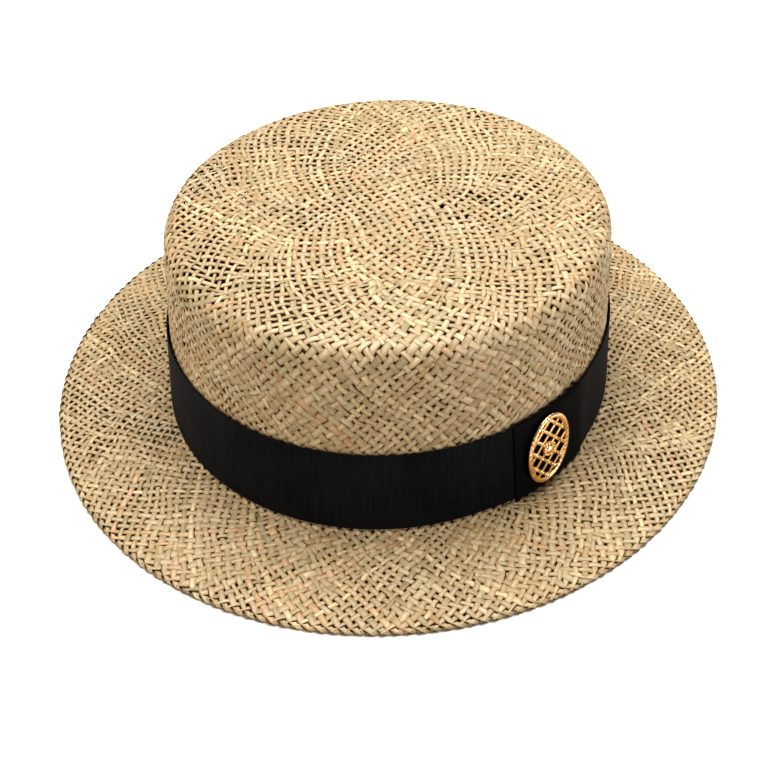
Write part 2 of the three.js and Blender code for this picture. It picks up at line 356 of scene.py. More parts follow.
@dataclass
class WeaveLayout:
    """Lays the straws: a square mat at the top's middle, then two families that wind outward at 45 degrees.

    Straws that start at the mat are not enough further out, so more are added, each folded in half over the
    weave, with one leg in each family. Every straw passes over and under in turn.

    Args:
        form: The hat that is woven.
        pitch: From one straw to the next on the top.
        brim_pitch: The same on the brim.
        tighten: Where the pitch goes from the one to the other, by distance from the top's middle.
        warp: How far crossings are shifted from their even places.
        warp_ease: Width of the strip inside the brim's edge where the shift dies out.
        mat_straws: Straws along each side of a quarter of the mat.
        ease: Distance over which an added straw takes up its full room.
        step: Step of the walk outward.
        edge_margin: Nothing crosses nearer to the brim's edge than this.
        settle_reach: Crossings nearer to the top's middle than this even out their spacing.
        settle_rounds: How many times they move.
        settle_pace: How much of the move that would mend the spacing is made each time.
        settle_bend: How much of a straw's bend is taken out each time.
        aim_spread: How unevenly the added straws go round the hat, in radians.
        golden_turn: Turn from the place aimed at for one added straw to that for the next.
        search_width: How far from there a place may be.
        spare: Straws that room is kept for, beyond those wanted.
        fold_reach: How far an added straw's fold stands inward, as a part of the pitch.
        seed: Start of the random numbers.
    """

    form: HatForm
    pitch: float = 3.30 * MM
    brim_pitch: float = 3.04 * MM
    tighten: tuple[float, float] = (70.0 * MM, 160.0 * MM)
    warp: float = 0.8 * MM
    warp_ease: float = 30.0 * MM
    mat_straws: int = 8
    ease: float = 7.0 * MM
    step: float = 0.2 * MM
    edge_margin: float = 2.0 * MM
    settle_reach: float = 44.0 * MM
    settle_rounds: int = 260
    settle_pace: float = 1.2
    settle_bend: float = 0.22
    aim_spread: float = 0.1
    golden_turn: float = 2.399963
    search_width: float = 9.0 * MM
    spare: int = 12
    fold_reach: float = 0.62
    seed: int = 11

    def build(self) -> list[Straw]:
        """Lays out the weave.

        Returns:
            All the straws.
        """
        self.rng = np.random.default_rng(self.seed)
        self.mat_half = self.mat_straws * self.pitch / math.sqrt(2)
        self.mat_radius = 4 * self.mat_half / math.pi
        self._march()
        self._cross()
        self._settle()
        self._over_and_under()
        self._warp()
        return self._straws()

    def _mat_starts(self) -> tuple[np.ndarray, np.ndarray]:
        """Finds where the mat's straws leave it.

        Returns:
            The angles of their first legs, and of their second ones.
        """
        count = 4 * self.mat_straws
        quarter = np.repeat(np.arange(4), self.mat_straws) * math.pi / 2
        within = (np.tile(np.arange(self.mat_straws), 4) + 0.5) * FULL_TURN / count - math.pi / 4
        return quarter + within, quarter - QUARTER_TURN - within

    def _march(self) -> None:
        """Walks outward from the mat, spacing the straws of each family evenly and adding new ones."""
        steps = np.arange(self.mat_radius, self.form.length, self.step)
        radius = self.form.radius_at(steps)
        winding = np.concatenate([[0.0], np.cumsum(self.step / radius[:-1])])
        pitch = self.pitch + (self.brim_pitch - self.pitch) * smoothstep(*self.tighten, steps)
        wanted = FULL_TURN * radius / (math.sqrt(2) * pitch)
        capacity = int(wanted.max()) + self.spare
        angles = np.full((2, capacity, len(steps)), np.nan)
        starts = np.zeros(capacity)
        starts[: 4 * self.mat_straws] = -1.0
        orders, offsets, last = [], [0.0, 0.0], [None, None]
        for leg, begin in enumerate(self._mat_starts()):
            order = list(np.argsort(begin % FULL_TURN))
            orders.append(order)
            offsets[leg] = float((begin % FULL_TURN)[order[0]])
        count = 4 * self.mat_straws
        waiting: list[float] = []
        next_aim = 0.0
        for n, s in enumerate(steps):
            for leg, sign in ((0, 1.0), (1, -1.0)):
                order = np.array(orders[leg])
                weight = smoothstep(0, self.ease, s - starts[order])
                total = np.cumsum(weight)
                rank = (total - weight / 2) / total[-1] * FULL_TURN
                if last[leg] is None:
                    offsets[leg] -= rank[0]
                else:
                    before = last[leg]
                    kept = [i for i, k in enumerate(order) if k in before]
                    offsets[leg] -= float(np.mean([rank[i] - before[order[i]] for i in kept]))
                last[leg] = dict(zip(order, rank))
                angles[leg, order, n] = rank + offsets[leg] + sign * winding[n]
            ahead = min(n + int(self.ease / 2 / self.step), len(steps) - 1)
            if s > steps[-1] - self.ease:
                continue
            while count + len(waiting) + 1 <= wanted[ahead]:
                waiting.append(next_aim + self.rng.normal(0, self.aim_spread))
                next_aim += self.golden_turn
            for aim in list(waiting):
                cell = self._free_cell(angles[:, :, n], orders, starts, s, radius[n], aim)
                if cell is None:
                    continue
                starts[count] = s
                for leg, (place, middle) in enumerate(cell):
                    orders[leg].insert(place + 1, count)
                    angles[leg, count, n] = middle
                count += 1
                waiting.remove(aim)
        self.steps, self.angles, self.starts, self.count = steps, angles, starts, count

    def _free_cell(self, angles: np.ndarray, orders: list, starts: np.ndarray, s: float, radius: float,
                   aim: float) -> tuple[tuple[int, float], tuple[int, float]] | None:
        """Finds a place near an angle where gaps of both families meet, between straws that have settled.

        Args:
            angles: Where each family's straws are at this distance.
            orders: Each family's straws in their order round the hat.
            starts: Distance at which each straw begins.
            s: This distance from the top's middle.
            radius: Radius of the round profile there.
            aim: The angle to search from.

        Returns:
            For each family, the place in its order after which the new straw goes and the angle; or None.
        """
        gaps = []
        for leg in (0, 1):
            order = np.array(orders[leg])
            here = angles[leg, order]
            after = np.roll(here, -1)
            young = s - starts[order] < self.ease / 2
            settled = ~young & ~np.roll(young, -1)
            middle = here + (after - here) % FULL_TURN / 2
            gaps.append((middle, settled))
        near = np.abs(wrapped(gaps[0][0] - aim)) < self.search_width / radius
        best, found = self.step / radius, None
        for i in np.nonzero(near & gaps[0][1])[0]:
            miss = np.abs(wrapped(gaps[1][0] - gaps[0][0][i]))
            miss[~gaps[1][1]] = math.inf
            j = int(np.argmin(miss))
            if miss[j] < best:
                best, found = miss[j], ((int(i), float(gaps[0][0][i])), (j, float(gaps[1][0][j])))
        return found

    def _cross(self) -> None:
        """Finds every crossing, with its place along both of its straws."""
        spots, passes = [], []
        far = self.form.length
        last = self.form.length - self.edge_margin
        for i in range(self.count):
            gap = self.angles[0, i][None, :] - self.angles[1, : self.count]
            turn = np.floor((gap + TINY) / FULL_TURN)
            rows, cols = np.nonzero(np.diff(turn, axis=1) > 0)
            for j, n in zip(rows, cols):
                part = (turn[j, n + 1] * FULL_TURN - gap[j, n]) / (gap[j, n + 1] - gap[j, n])
                s = self.steps[n] + part * self.step
                if s > last or (i == j and s < self.starts[i] + self.ease):
                    continue
                angle = self.angles[0, i, n] + part * (self.angles[0, i, n + 1] - self.angles[0, i, n])
                spots.append((s * math.cos(angle), s * math.sin(angle)))
                passes.append(((i, far + s), (j, -far - s)))
        self._cross_mat(spots, passes)
        self.spots = np.array(spots)
        self.passes = passes

    def _cross_mat(self, spots: list, passes: list) -> None:
        """Adds the crossings inside the square mat, eased towards a round outline.

        Args:
            spots: Flat spots of the crossings, which the mat's are added to.
            passes: The two straws of each crossing, which the mat's are added to.
        """
        half, per_side = self.mat_half, self.mat_straws
        offset = (np.arange(per_side)[::-1] + 0.5) * self.pitch
        for quarter in range(4):
            turn = quarter * QUARTER_TURN
            first = np.array([math.cos(turn - math.pi / 4), math.sin(turn - math.pi / 4)])
            second = np.array([math.cos(turn + math.pi / 4), math.sin(turn + math.pi / 4)])
            for a in range(per_side):
                for b in range(per_side):
                    point = offset[a] * first + offset[b] * second
                    ring = float(np.abs(point).max())
                    if ring > half * (1 + TINY):
                        continue
                    side = QUARTER_TURN * round(math.atan2(point[1], point[0]) / QUARTER_TURN)
                    turned = point[0] * math.cos(side) + point[1] * math.sin(side)
                    across = -point[0] * math.sin(side) + point[1] * math.cos(side)
                    angle = side + across / turned * math.pi / 4
                    round_spot = np.array([math.cos(angle), math.sin(angle)]) * ring * self.mat_radius / half
                    blend = (ring / half) ** 3
                    spots.append(tuple(point * (1 - blend) + round_spot * blend))
                    one = quarter * per_side + a
                    other = (quarter + 1) % 4 * per_side + b
                    passes.append(((one, float(offset[b])), (other, float(-offset[a]))))

    def _settle(self) -> None:
        """Lets the crossings near the top's middle even out their spacing, as a worked mat does."""
        visits: list[list[tuple[float, int]]] = [[] for _ in range(self.count)]
        for crossing, pair in enumerate(self.passes):
            for straw, key in pair:
                visits[straw].append((key, crossing))
        self.visits = [[c for _, c in sorted(v)] for v in visits]
        self.keys = [np.array(sorted(k for k, _ in v)) for v in visits]
        links = np.array([(a, b) for v in self.visits for a, b in zip(v[:-1], v[1:])])
        triples = np.array([(a, b, c) for v in self.visits for a, b, c in zip(v[:-2], v[1:-1], v[2:])])
        free = np.hypot(*self.spots.T) < self.settle_reach
        links = links[free[links].any(1)]
        triples = triples[free[triples[:, 1]]]
        shares = np.bincount(links.ravel(), minlength=len(self.spots))[:, None].clip(1)
        for _ in range(self.settle_rounds):
            gap = self.spots[links[:, 1]] - self.spots[links[:, 0]]
            length = np.linalg.norm(gap, axis=1, keepdims=True).clip(TINY * MM)
            pull = gap / length * (length - self.pitch) / 2
            move = np.zeros_like(self.spots)
            np.add.at(move, links[:, 0], pull)
            np.add.at(move, links[:, 1], -pull)
            move *= self.settle_pace / shares
            bend = (self.spots[triples[:, 0]] + self.spots[triples[:, 2]]) / 2 - self.spots[triples[:, 1]]
            np.add.at(move, triples[:, 1], bend * self.settle_bend)
            self.spots[free] += move[free]

    def _over_and_under(self) -> None:
        """Chooses which straw is on top at each crossing, so that each goes over and under in turn."""
        place = [{} for _ in range(self.count)]
        for straw, visited in enumerate(self.visits):
            for index, crossing in enumerate(visited):
                place[straw].setdefault(crossing, index)
        meets = [[] for _ in range(self.count)]
        for crossing, ((a, _), (b, _)) in enumerate(self.passes):
            if a != b:
                odd = (place[a][crossing] + place[b][crossing] + 1) % 2
                meets[a].append((b, odd))
                meets[b].append((a, odd))
        phase = {0: 0}
        queue = deque(phase)
        while queue:
            straw = queue.popleft()
            for other, odd in meets[straw]:
                if other not in phase:
                    phase[other] = phase[straw] ^ odd
                    queue.append(other)
        clashes = sum(phase[b] != phase[a] ^ odd for a in range(self.count) for b, odd in meets[a]) // 2
        log.info("weave: %d straws, %d crossings, %d out of turn", self.count, len(self.passes), clashes)
        self.sides = [np.zeros(len(v), int) for v in self.visits]
        for crossing, ((a, _), (b, _)) in enumerate(self.passes):
            here = [i for i, c in enumerate(self.visits[a]) if c == crossing]
            there = [i for i, c in enumerate(self.visits[b]) if c == crossing]
            side = 1 if (here[-1] + phase[a]) % 2 == 0 else -1
            self.sides[a][here[-1]] = side
            self.sides[b][there[0]] = -side

    def _warp(self) -> None:
        """Shifts the crossings a little and slowly, so that straws are closer in some places."""
        ease = smoothstep(0, self.warp_ease, self.form.length - np.hypot(*self.spots.T))[:, None]
        shift = np.stack([Drift(self.rng).at(self.spots), Drift(self.rng).at(self.spots)], 1)
        self.spots = self.spots + shift * ease * self.warp

    def _rooms(self) -> list[np.ndarray]:
        """Measures the room that each straw has.

        Returns:
            For each straw, the room across it at its crossings, as a part of the usual pitch.
        """
        place = self.form.place(self.spots)[0]
        ahead = [dict(zip(v[:-1], v[1:])) for v in self.visits]
        behind = [dict(zip(v[1:], v[:-1])) for v in self.visits]
        rooms = []
        for k, visited in enumerate(self.visits):
            points = place[visited]
            along = unit(np.gradient(points, axis=0))
            room = np.full(len(visited), self.pitch)
            for index, crossing in enumerate(visited):
                (a, _), (b, _) = self.passes[crossing]
                other = b if a == k else a
                beside = [near[other][crossing] for near in (ahead, behind) if crossing in near[other]]
                if beside:
                    reach = np.cross(along[index], place[beside] - points[index])
                    across = np.linalg.norm(reach, axis=1)
                    room[index] = (across.mean() + across.max()) / 2
            padded = np.concatenate([room[:1], room, room[-1:]])
            rooms.append((padded[:-2] + 2 * room + padded[2:]) / 4 / self.pitch)
        return rooms

    def _straws(self) -> list[Straw]:
        """Makes the straws, each added one with its fold between its two legs.

        Returns:
            The straws.
        """
        straws = []
        for k, room in enumerate(self._rooms()):
            spots = self.spots[self.visits[k]]
            sides = self.sides[k].astype(float)
            if self.starts[k] > 0:
                legs = int(np.searchsorted(self.keys[k], 0.0))
                between = spots[legs - 1: legs + 1].mean(0)
                spots = np.insert(spots, legs, between - unit(between) * self.fold_reach * self.pitch, axis=0)
                sides = np.insert(sides, legs, 0.0)
                room = np.insert(room, legs, room[legs - 1: legs + 1].mean())
            straws.append(Straw(spots, sides, room))
        return straws


# ------------------------------------------------------------------------------------------ material webs


class Wire:
    """A value on its way through a material's nodes, on which arithmetic adds Math nodes."""

    def __init__(self, web: NodeWeb, socket: bpy.types.NodeSocket) -> None:
        """Keeps the web and the output socket."""
        self.web = web
        self.socket = socket

    def __add__(self, other: Value) -> Wire:
        """Returns the sum."""
        return self.web.math("ADD", self, other)

    def __sub__(self, other: Value) -> Wire:
        """Returns the difference."""
        return self.web.math("SUBTRACT", self, other)

    def __rsub__(self, other: Value) -> Wire:
        """Returns the difference the other way round."""
        return self.web.math("SUBTRACT", other, self)

    def __mul__(self, other: Value) -> Wire:
        """Returns the product."""
        return self.web.math("MULTIPLY", self, other)


Value = float | Wire
Colour = tuple[float, float, float]
Settings = dict[str, object]
Sockets = dict[str | int, object]


class NodeWeb:
    """A material whose nodes are added by kind, settings and sockets."""

    MIX_FACTOR, MIX_LOW, MIX_HIGH, MIX_COLOUR = 0, 6, 7, 2

    def __init__(self, name: str) -> None:
        """Starts an empty material.

        Args:
            name: The material's name.
        """
        self.material = bpy.data.materials.new(name)
        self.material.use_nodes = True
        self.tree = self.material.node_tree
        self.tree.nodes.clear()

    def node(self, kind: str, settings: Settings, sockets: Sockets, output: str | int = 0) -> Wire:
        """Adds a node.

        Args:
            kind: The node's type.
            settings: Its own settings, which are set first.
            sockets: A value or a wire for each input that is given one.
            output: Which of its outputs to return.

        Returns:
            The chosen output.
        """
        node = self.tree.nodes.new(kind)
        for key, value in settings.items():
            setattr(node, key, value)
        for key, value in sockets.items():
            if isinstance(value, Wire):
                self.tree.links.new(value.socket, node.inputs[key])
            elif isinstance(value, tuple) and node.inputs[key].type == "RGBA":
                node.inputs[key].default_value = (*value, 1.0)
            else:
                node.inputs[key].default_value = value
        return Wire(self, node.outputs[output])

    def math(self, operation: str, *values: Value) -> Wire:
        """Adds a Math node."""
        return self.node("ShaderNodeMath", {"operation": operation}, dict(enumerate(values)))

    def clamp(self, value: Value, low: float, high: float) -> Wire:
        """Returns how far a value is between two others, from 0 to 1."""
        sockets = {"Value": value, "From Min": low, "From Max": high}
        return self.node("ShaderNodeMapRange", {"clamp": True}, sockets)

    def mix(self, factor: Value, low: Colour | Wire, high: Colour | Wire) -> Wire:
        """Mixes two colours."""
        sockets = {self.MIX_FACTOR: factor, self.MIX_LOW: low, self.MIX_HIGH: high}
        return self.node("ShaderNodeMix", {"data_type": "RGBA"}, sockets, self.MIX_COLOUR)

    def map(self, name: str, scale: tuple[float, float, float]) -> Wire:
        """Returns a UV map's coordinates, scaled."""
        place = self.node("ShaderNodeUVMap", {"uv_map": name}, {})
        return self.node("ShaderNodeMapping", {}, {"Vector": place, "Scale": scale})

    def body(self, scale: float) -> Wire:
        """Returns the coordinates on the object, scaled."""
        place = self.node("ShaderNodeTexCoord", {}, {}, "Object")
        return self.node("ShaderNodeMapping", {}, {"Vector": place, "Scale": (scale, scale, scale)})

    def noise(self, place: Wire, scale: float = 1.0, detail: float = 3.0) -> Wire:
        """Returns cloudy noise about 0.5."""
        return self.node("ShaderNodeTexNoise", {}, {"Vector": place, "Scale": scale, "Detail": detail})

    def bump(self, height: Wire, depth: float, strength: float = 1.0) -> Wire:
        """Returns a normal from a height."""
        return self.node("ShaderNodeBump", {}, {"Height": height, "Distance": depth, "Strength": strength})

    def finish(self, sockets: Sockets) -> bpy.types.Material:
        """Ends the web in a Principled shader.

        Args:
            sockets: A value or a wire for each of the shader's inputs that is given one.

        Returns:
            The material.
        """
        shader = self.node("ShaderNodeBsdfPrincipled", {}, sockets)
        end = self.tree.nodes.new("ShaderNodeOutputMaterial")
        self.tree.links.new(shader.socket, end.inputs["Surface"])
        return self.material


@dataclass(frozen=True)
class Blend:
    """How a colour is laid over another where a pattern is strong.

    Args:
        colour: The colour that is laid over.
        low: Where the pattern starts to show it.
        high: Where the pattern shows it fully.
        share: How much of it shows there.
    """

    colour: Colour
    low: float
    high: float
    share: float = 1.0

    def over(self, web: NodeWeb, colour: Wire, pattern: Wire, mask: Wire | None = None) -> Wire:
        """Lays the colour over another.

        Args:
            web: The material's nodes.
            colour: The colour beneath.
            pattern: What decides where it shows.
            mask: Where it may show at all, or None for everywhere.

        Returns:
            The mixed colour.
        """
        factor = web.clamp(pattern, self.low, self.high)
        if mask is not None:
            factor = factor * mask
        return web.mix(factor * self.share, colour, self.colour)


@dataclass(frozen=True)
class StrawFinish:
    """Dried straw of one shade: streaked along its fibres, blotched in places and a little waxy, with painted
    shade along its edges and on the sides that look into the gaps.

    The fibre map runs along a straw in its first direction. In its second it has a whole number at the start
    of each straw's section, so that its fraction tells the flat face from the sides and the back.

    Args:
        name: The material's name.
        dark: Colour of its darkest stretches.
        pale: Colour of its palest stretches.
        cast: A duller colour that clouds it.
        blotch: The brown of its stains.
        edge: Painted shade, a deeper brown along the edges of the flat face and the upper sides.
        inside: Painted shade, nearly black, on its sides where they look into a gap.
        tone_share: How much a straw's own tone makes it paler.
        streak_share: How much its streaks do.
        stretch_share: How much its paler stretches do.
        paleness: The sums at which it is darkest and palest.
        face_middle: Where the middle of the flat face is, as a share of the way round the section.
        underside: How far from the middle of the underside the painted shade of the edges and of the gap
            sides starts and is full.
        shine: Strength of its reflections.
        smoothest: Roughness where it is smoothest.
        rougher: How much rougher it is at its roughest.
        grain: Depth of its grain.
    """

    name: str
    dark: Colour
    pale: Colour
    cast: Blend = Blend((0.415, 0.325, 0.212), 0.45, 0.75, 0.6)
    blotch: Blend = Blend((0.235, 0.145, 0.067), 0.62, 0.8, 0.5)
    # Painted shade: a deeper brown along the straw's edges.
    edge: Blend = Blend((0.29, 0.175, 0.052), 0.03, 0.1, 0.5)
    # Painted shade: nearly black on the sides that look into the gaps.
    inside: Blend = Blend((0.042, 0.017, 0.002), 0.285, 0.345)
    tone_share: float = 0.3
    streak_share: float = 1.3
    stretch_share: float = 0.9
    paleness: tuple[float, float] = (0.8, 1.7)
    face_middle: float = 0.25
    underside: tuple[float, float] = (0.07, 0.09)
    shine: float = 0.5
    smoothest: float = 0.36
    rougher: float = 0.25
    grain: float = 0.12 * MM

    def material(self) -> bpy.types.Material:
        """Makes the material.

        Returns:
            The material.
        """
        web = NodeWeb(self.name)
        fibre = web.map("Fibre", (1.0, 1.0, 1.0))
        streaks = web.noise(web.map("Fibre", (0.35, 3.0, 1.0)), scale=4.0, detail=5.0)
        stretches = web.noise(fibre, scale=2.4, detail=2.0)
        tone = web.node("ShaderNodeAttribute", {"attribute_name": "tone"}, {}, "Fac")
        paleness = tone * self.tone_share + streaks * self.streak_share + stretches * self.stretch_share
        colour = web.mix(web.clamp(paleness, *self.paleness), self.dark, self.pale)
        colour = self.cast.over(web, colour, web.noise(fibre, scale=1.3))
        colour = self.blotch.over(web, colour, web.noise(fibre, scale=3.1))
        around = web.math("FRACT", web.node("ShaderNodeSeparateXYZ", {}, {"Vector": fibre}, "Y"))
        # aside grows from the middle of the flat face round to the middle of the underside; above is 0 on the
        # underside and keeps the painted shade off it.
        aside = 0.5 - web.math("ABSOLUTE", web.math("ABSOLUTE", around - self.face_middle) - 0.5)
        above = web.clamp(0.5 - aside, *self.underside)
        # Painted shade along the edges of the flat face and the upper sides.
        colour = self.edge.over(web, colour, aside, above)
        # Painted shade on the sides that look into the gaps.
        colour = self.inside.over(web, colour, aside, above)
        return web.finish({
            "Base Color": colour, "Roughness": streaks * self.rougher + self.smoothest,
            "Normal": web.bump(streaks, self.grain), "Specular IOR Level": self.shine,
        })


@dataclass(frozen=True)
class GrosgrainFinish:
    """Black corded ribbon: dyed threads over fine cords, with a dull sheen and paler thread tops, partly
    rubbed and partly painted sheen.

    Args:
        name: The material's name.
        thread_colour: Colour of the threads.
        worn_and_painted_sheen: Colour where the light catches the threads' tops.
        thread_share: How much single threads show.
        cord_share: How much the cords show.
        patch_share: How much larger patches show.
        spread: The sums at which the colour is that of the dye and of the worn tops.
        smoothest: Roughness where it is smoothest.
        rougher: How much rougher it is at its roughest.
        grain: Depth of the threads.
        grain_strength: How much of that depth is seen.
        shine: Strength of its reflections.
        sheen: Strength of its sheen.
    """

    name: str
    thread_colour: Colour
    worn_and_painted_sheen: Colour
    thread_share: float = 0.35
    cord_share: float = 0.3
    patch_share: float = 0.35
    # spread: The sums at which the colour is that of the threads and of their paler, partly painted-sheen
    # tops.
    spread: tuple[float, float] = (0.36, 0.64)
    smoothest: float = 0.5
    rougher: float = 0.2
    grain: float = 0.05 * MM
    grain_strength: float = 0.8
    shine: float = 0.12
    sheen: float = 0.06

    def material(self) -> bpy.types.Material:
        """Makes the material.

        Returns:
            The material.
        """
        web = NodeWeb(self.name)
        threads = web.noise(web.map("Cloth", (90.0, 26.0, 1.0)), detail=2.0)
        cords = web.noise(web.map("Cloth", (9.0, 0.5, 1.0)), detail=2.0)
        patches = web.noise(web.body(60.0))
        # Threads, upright cords and patches choose the paler tops: partly rubbed, partly painted sheen and
        # shade.
        wear_and_painted_light = threads * self.thread_share + cords * self.cord_share + patches * self.patch_share
        return web.finish({
            "Base Color": web.mix(web.clamp(wear_and_painted_light, *self.spread), self.thread_colour, self.worn_and_painted_sheen),
            "Roughness": patches * self.rougher + self.smoothest,
            "Normal": web.bump(threads, self.grain, self.grain_strength),
            "Specular IOR Level": self.shine, "Sheen Weight": self.sheen,
        })


class RibbonBlack(Enum):
    """The black of each ribbon piece: the colour of its threads, and of their paler tops. The keeper's is
    painted darker than the band's, as shade for its level ribs.
    """

    BAND = ((0.0111, 0.0114, 0.0128), (0.0320, 0.0312, 0.0340))
    # Painted shade: the keeper is the band's ribbon, made darker because its level ribs catch less light.
    KEEPER = ((0.0070, 0.0067, 0.0070), (0.0175, 0.0167, 0.0172))

    def finish(self) -> GrosgrainFinish:
        """Returns the finish of this piece."""
        return GrosgrainFinish(f"grosgrain_{self.name.lower()}", *self.value)


@dataclass(frozen=True)
class GiltFinish:
    """Gilt metal: pale polished gold that turns orange in random patches, partly rubbed gilt and partly
    painted shade.

    Args:
        name: The material's name.
        pale: Colour of the polished gold.
        deep: Orange of its patches, partly rubbed gilt and partly painted shade.
        wear_and_painted_light: The noise at which the orange patches start to show, and at which they are
            full.
        smoothest: Roughness where it is smoothest.
        rougher: How much rougher it is at its roughest.
        grain: Depth of its casting grain.
        grain_strength: How much of that depth is seen.
    """

    name: str
    pale: Colour = (0.95, 0.76, 0.50)
    deep: Colour = (0.78, 0.47, 0.20)
    wear_and_painted_light: tuple[float, float] = (0.35, 0.7)
    smoothest: float = 0.16
    rougher: float = 0.2
    grain: float = 0.03 * MM
    grain_strength: float = 0.5

    def material(self) -> bpy.types.Material:
        """Makes the material.

        Returns:
            The material.
        """
        web = NodeWeb(self.name)
        # Random orange patches: partly rubbed gilt, partly painted shade.
        wear_and_painted_light = web.noise(web.body(420.0))
        grain = web.noise(web.body(2600.0), detail=2.0)
        return web.finish({
            "Base Color": web.mix(web.clamp(wear_and_painted_light, *self.wear_and_painted_light), self.pale, self.deep),
            "Roughness": wear_and_painted_light * self.rougher + self.smoothest, "Metallic": 1.0,
            "Normal": web.bump(grain, self.grain, self.grain_strength),
        })


@dataclass(frozen=True)
class FloorFinish:
    """A plain pale studio floor.

    Args:
        name: The material's name.
        colour: Its colour.
        roughness: Its roughness.
        shine: Strength of its reflections.
    """

    name: str
    colour: Colour = (0.70, 0.68, 0.645)
    roughness: float = 0.9
    shine: float = 0.1

    def material(self) -> bpy.types.Material:
        """Returns the material."""
        sockets = {"Base Color": self.colour, "Roughness": self.roughness, "Specular IOR Level": self.shine}
        return NodeWeb(self.name).finish(sockets)


# ------------------------------------------------------------------------------------------- mesh helpers


def choose(*objects: bpy.types.Object) -> None:
    """Selects some objects and nothing else, and makes the first one active.

    Args:
        objects: The objects to select.
    """
    bpy.ops.object.select_all(action="DESELECT")
    for obj in objects:
        obj.select_set(True)
    bpy.context.view_layer.objects.active = objects[0]


def primitive(add: Callable[..., object], **settings: object) -> bpy.types.Object:
    """Adds a primitive while nothing else is selected.

    Args:
        add: The operator that adds it.
        settings: The operator's settings.

    Returns:
        The new object.
    """
    bpy.ops.object.select_all(action="DESELECT")
    add(**settings)
    return bpy.context.object


def points_of(obj: bpy.types.Object) -> np.ndarray:
    """Reads a mesh's points.

    Args:
        obj: The mesh object.

    Returns:
        A row for each point.
    """
    rows = np.empty(len(obj.data.vertices) * 3)
    obj.data.vertices.foreach_get("co", rows)
    return rows.reshape(-1, 3)


def move_points(obj: bpy.types.Object, rows: np.ndarray) -> None:
    """Puts a mesh's points at these rows."""
    obj.data.vertices.foreach_set("co", np.ascontiguousarray(rows, float).ravel())
    obj.data.update()


def add_map(obj: bpy.types.Object, name: str, rows: np.ndarray) -> None:
    """Adds a UV map, with a row for each corner of each face."""
    layer = obj.data.uv_layers.new(name=name)
    layer.uv.foreach_set("vector", np.ascontiguousarray(rows, float).ravel())


def corners_of(obj: bpy.types.Object) -> np.ndarray:
    """Reads which point each corner of each face is at.

    Args:
        obj: The mesh object.

    Returns:
        The number of a point for each corner.
    """
    rows = np.empty(len(obj.data.loops), int)
    obj.data.loops.foreach_get("vertex_index", rows)
    return rows


def apply_modifier(obj: bpy.types.Object, kind: str, **settings: object) -> None:
    """Adds a modifier and applies it.

    Args:
        obj: The object to shape.
        kind: The modifier's type.
        settings: Its settings.
    """
    choose(obj)
    bpy.ops.object.modifier_add(type=kind)
    modifier = obj.modifiers[-1]
    for key, value in settings.items():
        setattr(modifier, key, value)
    bpy.ops.object.modifier_apply(modifier=modifier.name)


def edit(obj: bpy.types.Object, *steps: Callable[[], object]) -> None:
    """Runs operators in edit mode on the whole of a mesh.

    Args:
        obj: The object to edit.
        steps: The operators, each ready to be called.
    """
    choose(obj)
    bpy.ops.object.mode_set(mode="EDIT")
    bpy.ops.mesh.select_all(action="SELECT")
    for step in steps:
        step()
    bpy.ops.object.mode_set(mode="OBJECT")


def smooth(obj: bpy.types.Object, degrees: float) -> None:
    """Shades a mesh smooth, apart from edges sharper than an angle."""
    choose(obj)
    bpy.ops.object.shade_smooth_by_angle(angle=math.radians(degrees))


def dress(obj: bpy.types.Object, material: bpy.types.Material, node: str) -> None:
    """Gives a finished piece its material, and its place in the frame.

    Args:
        obj: The finished piece.
        material: Its material.
        node: The frame's node that it stands in for.
    """
    obj.data.materials.clear()
    obj.data.materials.append(material)
    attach(obj, "root")
    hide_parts(node)


# ----------------------------------------------------------------------------------------- the woven body


class StrawShade(Enum):
    """The shades of straw, each with its share of the straws and its darkest and palest colours."""

    TAN = (0.32, (0.31, 0.23, 0.13), (0.59, 0.475, 0.325))
    SAND = (0.28, (0.35, 0.27, 0.165), (0.62, 0.52, 0.375))
    OLIVE = (0.22, (0.275, 0.225, 0.135), (0.55, 0.47, 0.33))
    BLOND = (0.11, (0.39, 0.31, 0.18), (0.70, 0.595, 0.405))
    PEACH = (0.07, (0.36, 0.24, 0.135), (0.65, 0.48, 0.325))

    @property
    def share(self) -> float:
        """How many of the straws are of this shade."""
        return self.value[0]

    def finish(self) -> StrawFinish:
        """Returns the finish of this shade."""
        return StrawFinish(f"straw_{self.name.lower()}", *self.value[1:])


@dataclass(frozen=True)
class EdgeTurn:
    """How a straw's end is turned under at the brim's edge.

    Args:
        run: How far it runs round the hat as it turns, and which way.
        reach: How far the turn stands out from its middle.
        rise: How far it stands above and below its middle.
        tail: How far it runs back underneath.
        size: Its width and thickness there, as a part of the straw's own.
        roll: How far it leans onto its neighbour, in degrees.
        steps: Points round the turn.
        tail_run: How far along its run the tail's middle and tip are, where 1 is the end of the turn.
    """

    run: float
    reach: float
    rise: float
    tail: float
    size: float
    roll: float
    steps: int = 7
    tail_run: tuple[float, float] = (1.2, 1.4)

    def path(self, form: HatForm, angle: float) -> tuple[np.ndarray, np.ndarray]:
        """Follows the turned end, from the top of the turn to the tip.

        Args:
            form: The hat that it is on.
            angle: Where it meets the rim.

        Returns:
            Its points, and the direction that its flat side faces at each.
        """
        turn = np.append(np.linspace(0, math.pi, self.steps), [math.pi, math.pi])
        back = np.append(np.zeros(self.steps), [self.tail / 2, self.tail])
        share = np.append(np.linspace(0, 1, self.steps), self.tail_run)
        around = angle + self.run * share / form.edge_radius
        radius = form.rim_radius + self.reach * np.sin(turn) - back
        height = form.rim_height + self.rise * np.cos(turn)
        normal = form.outward(around, height) * np.sin(turn)[:, None]
        normal[:, 2] = np.cos(turn)
        return form.oval(radius, around, height), normal


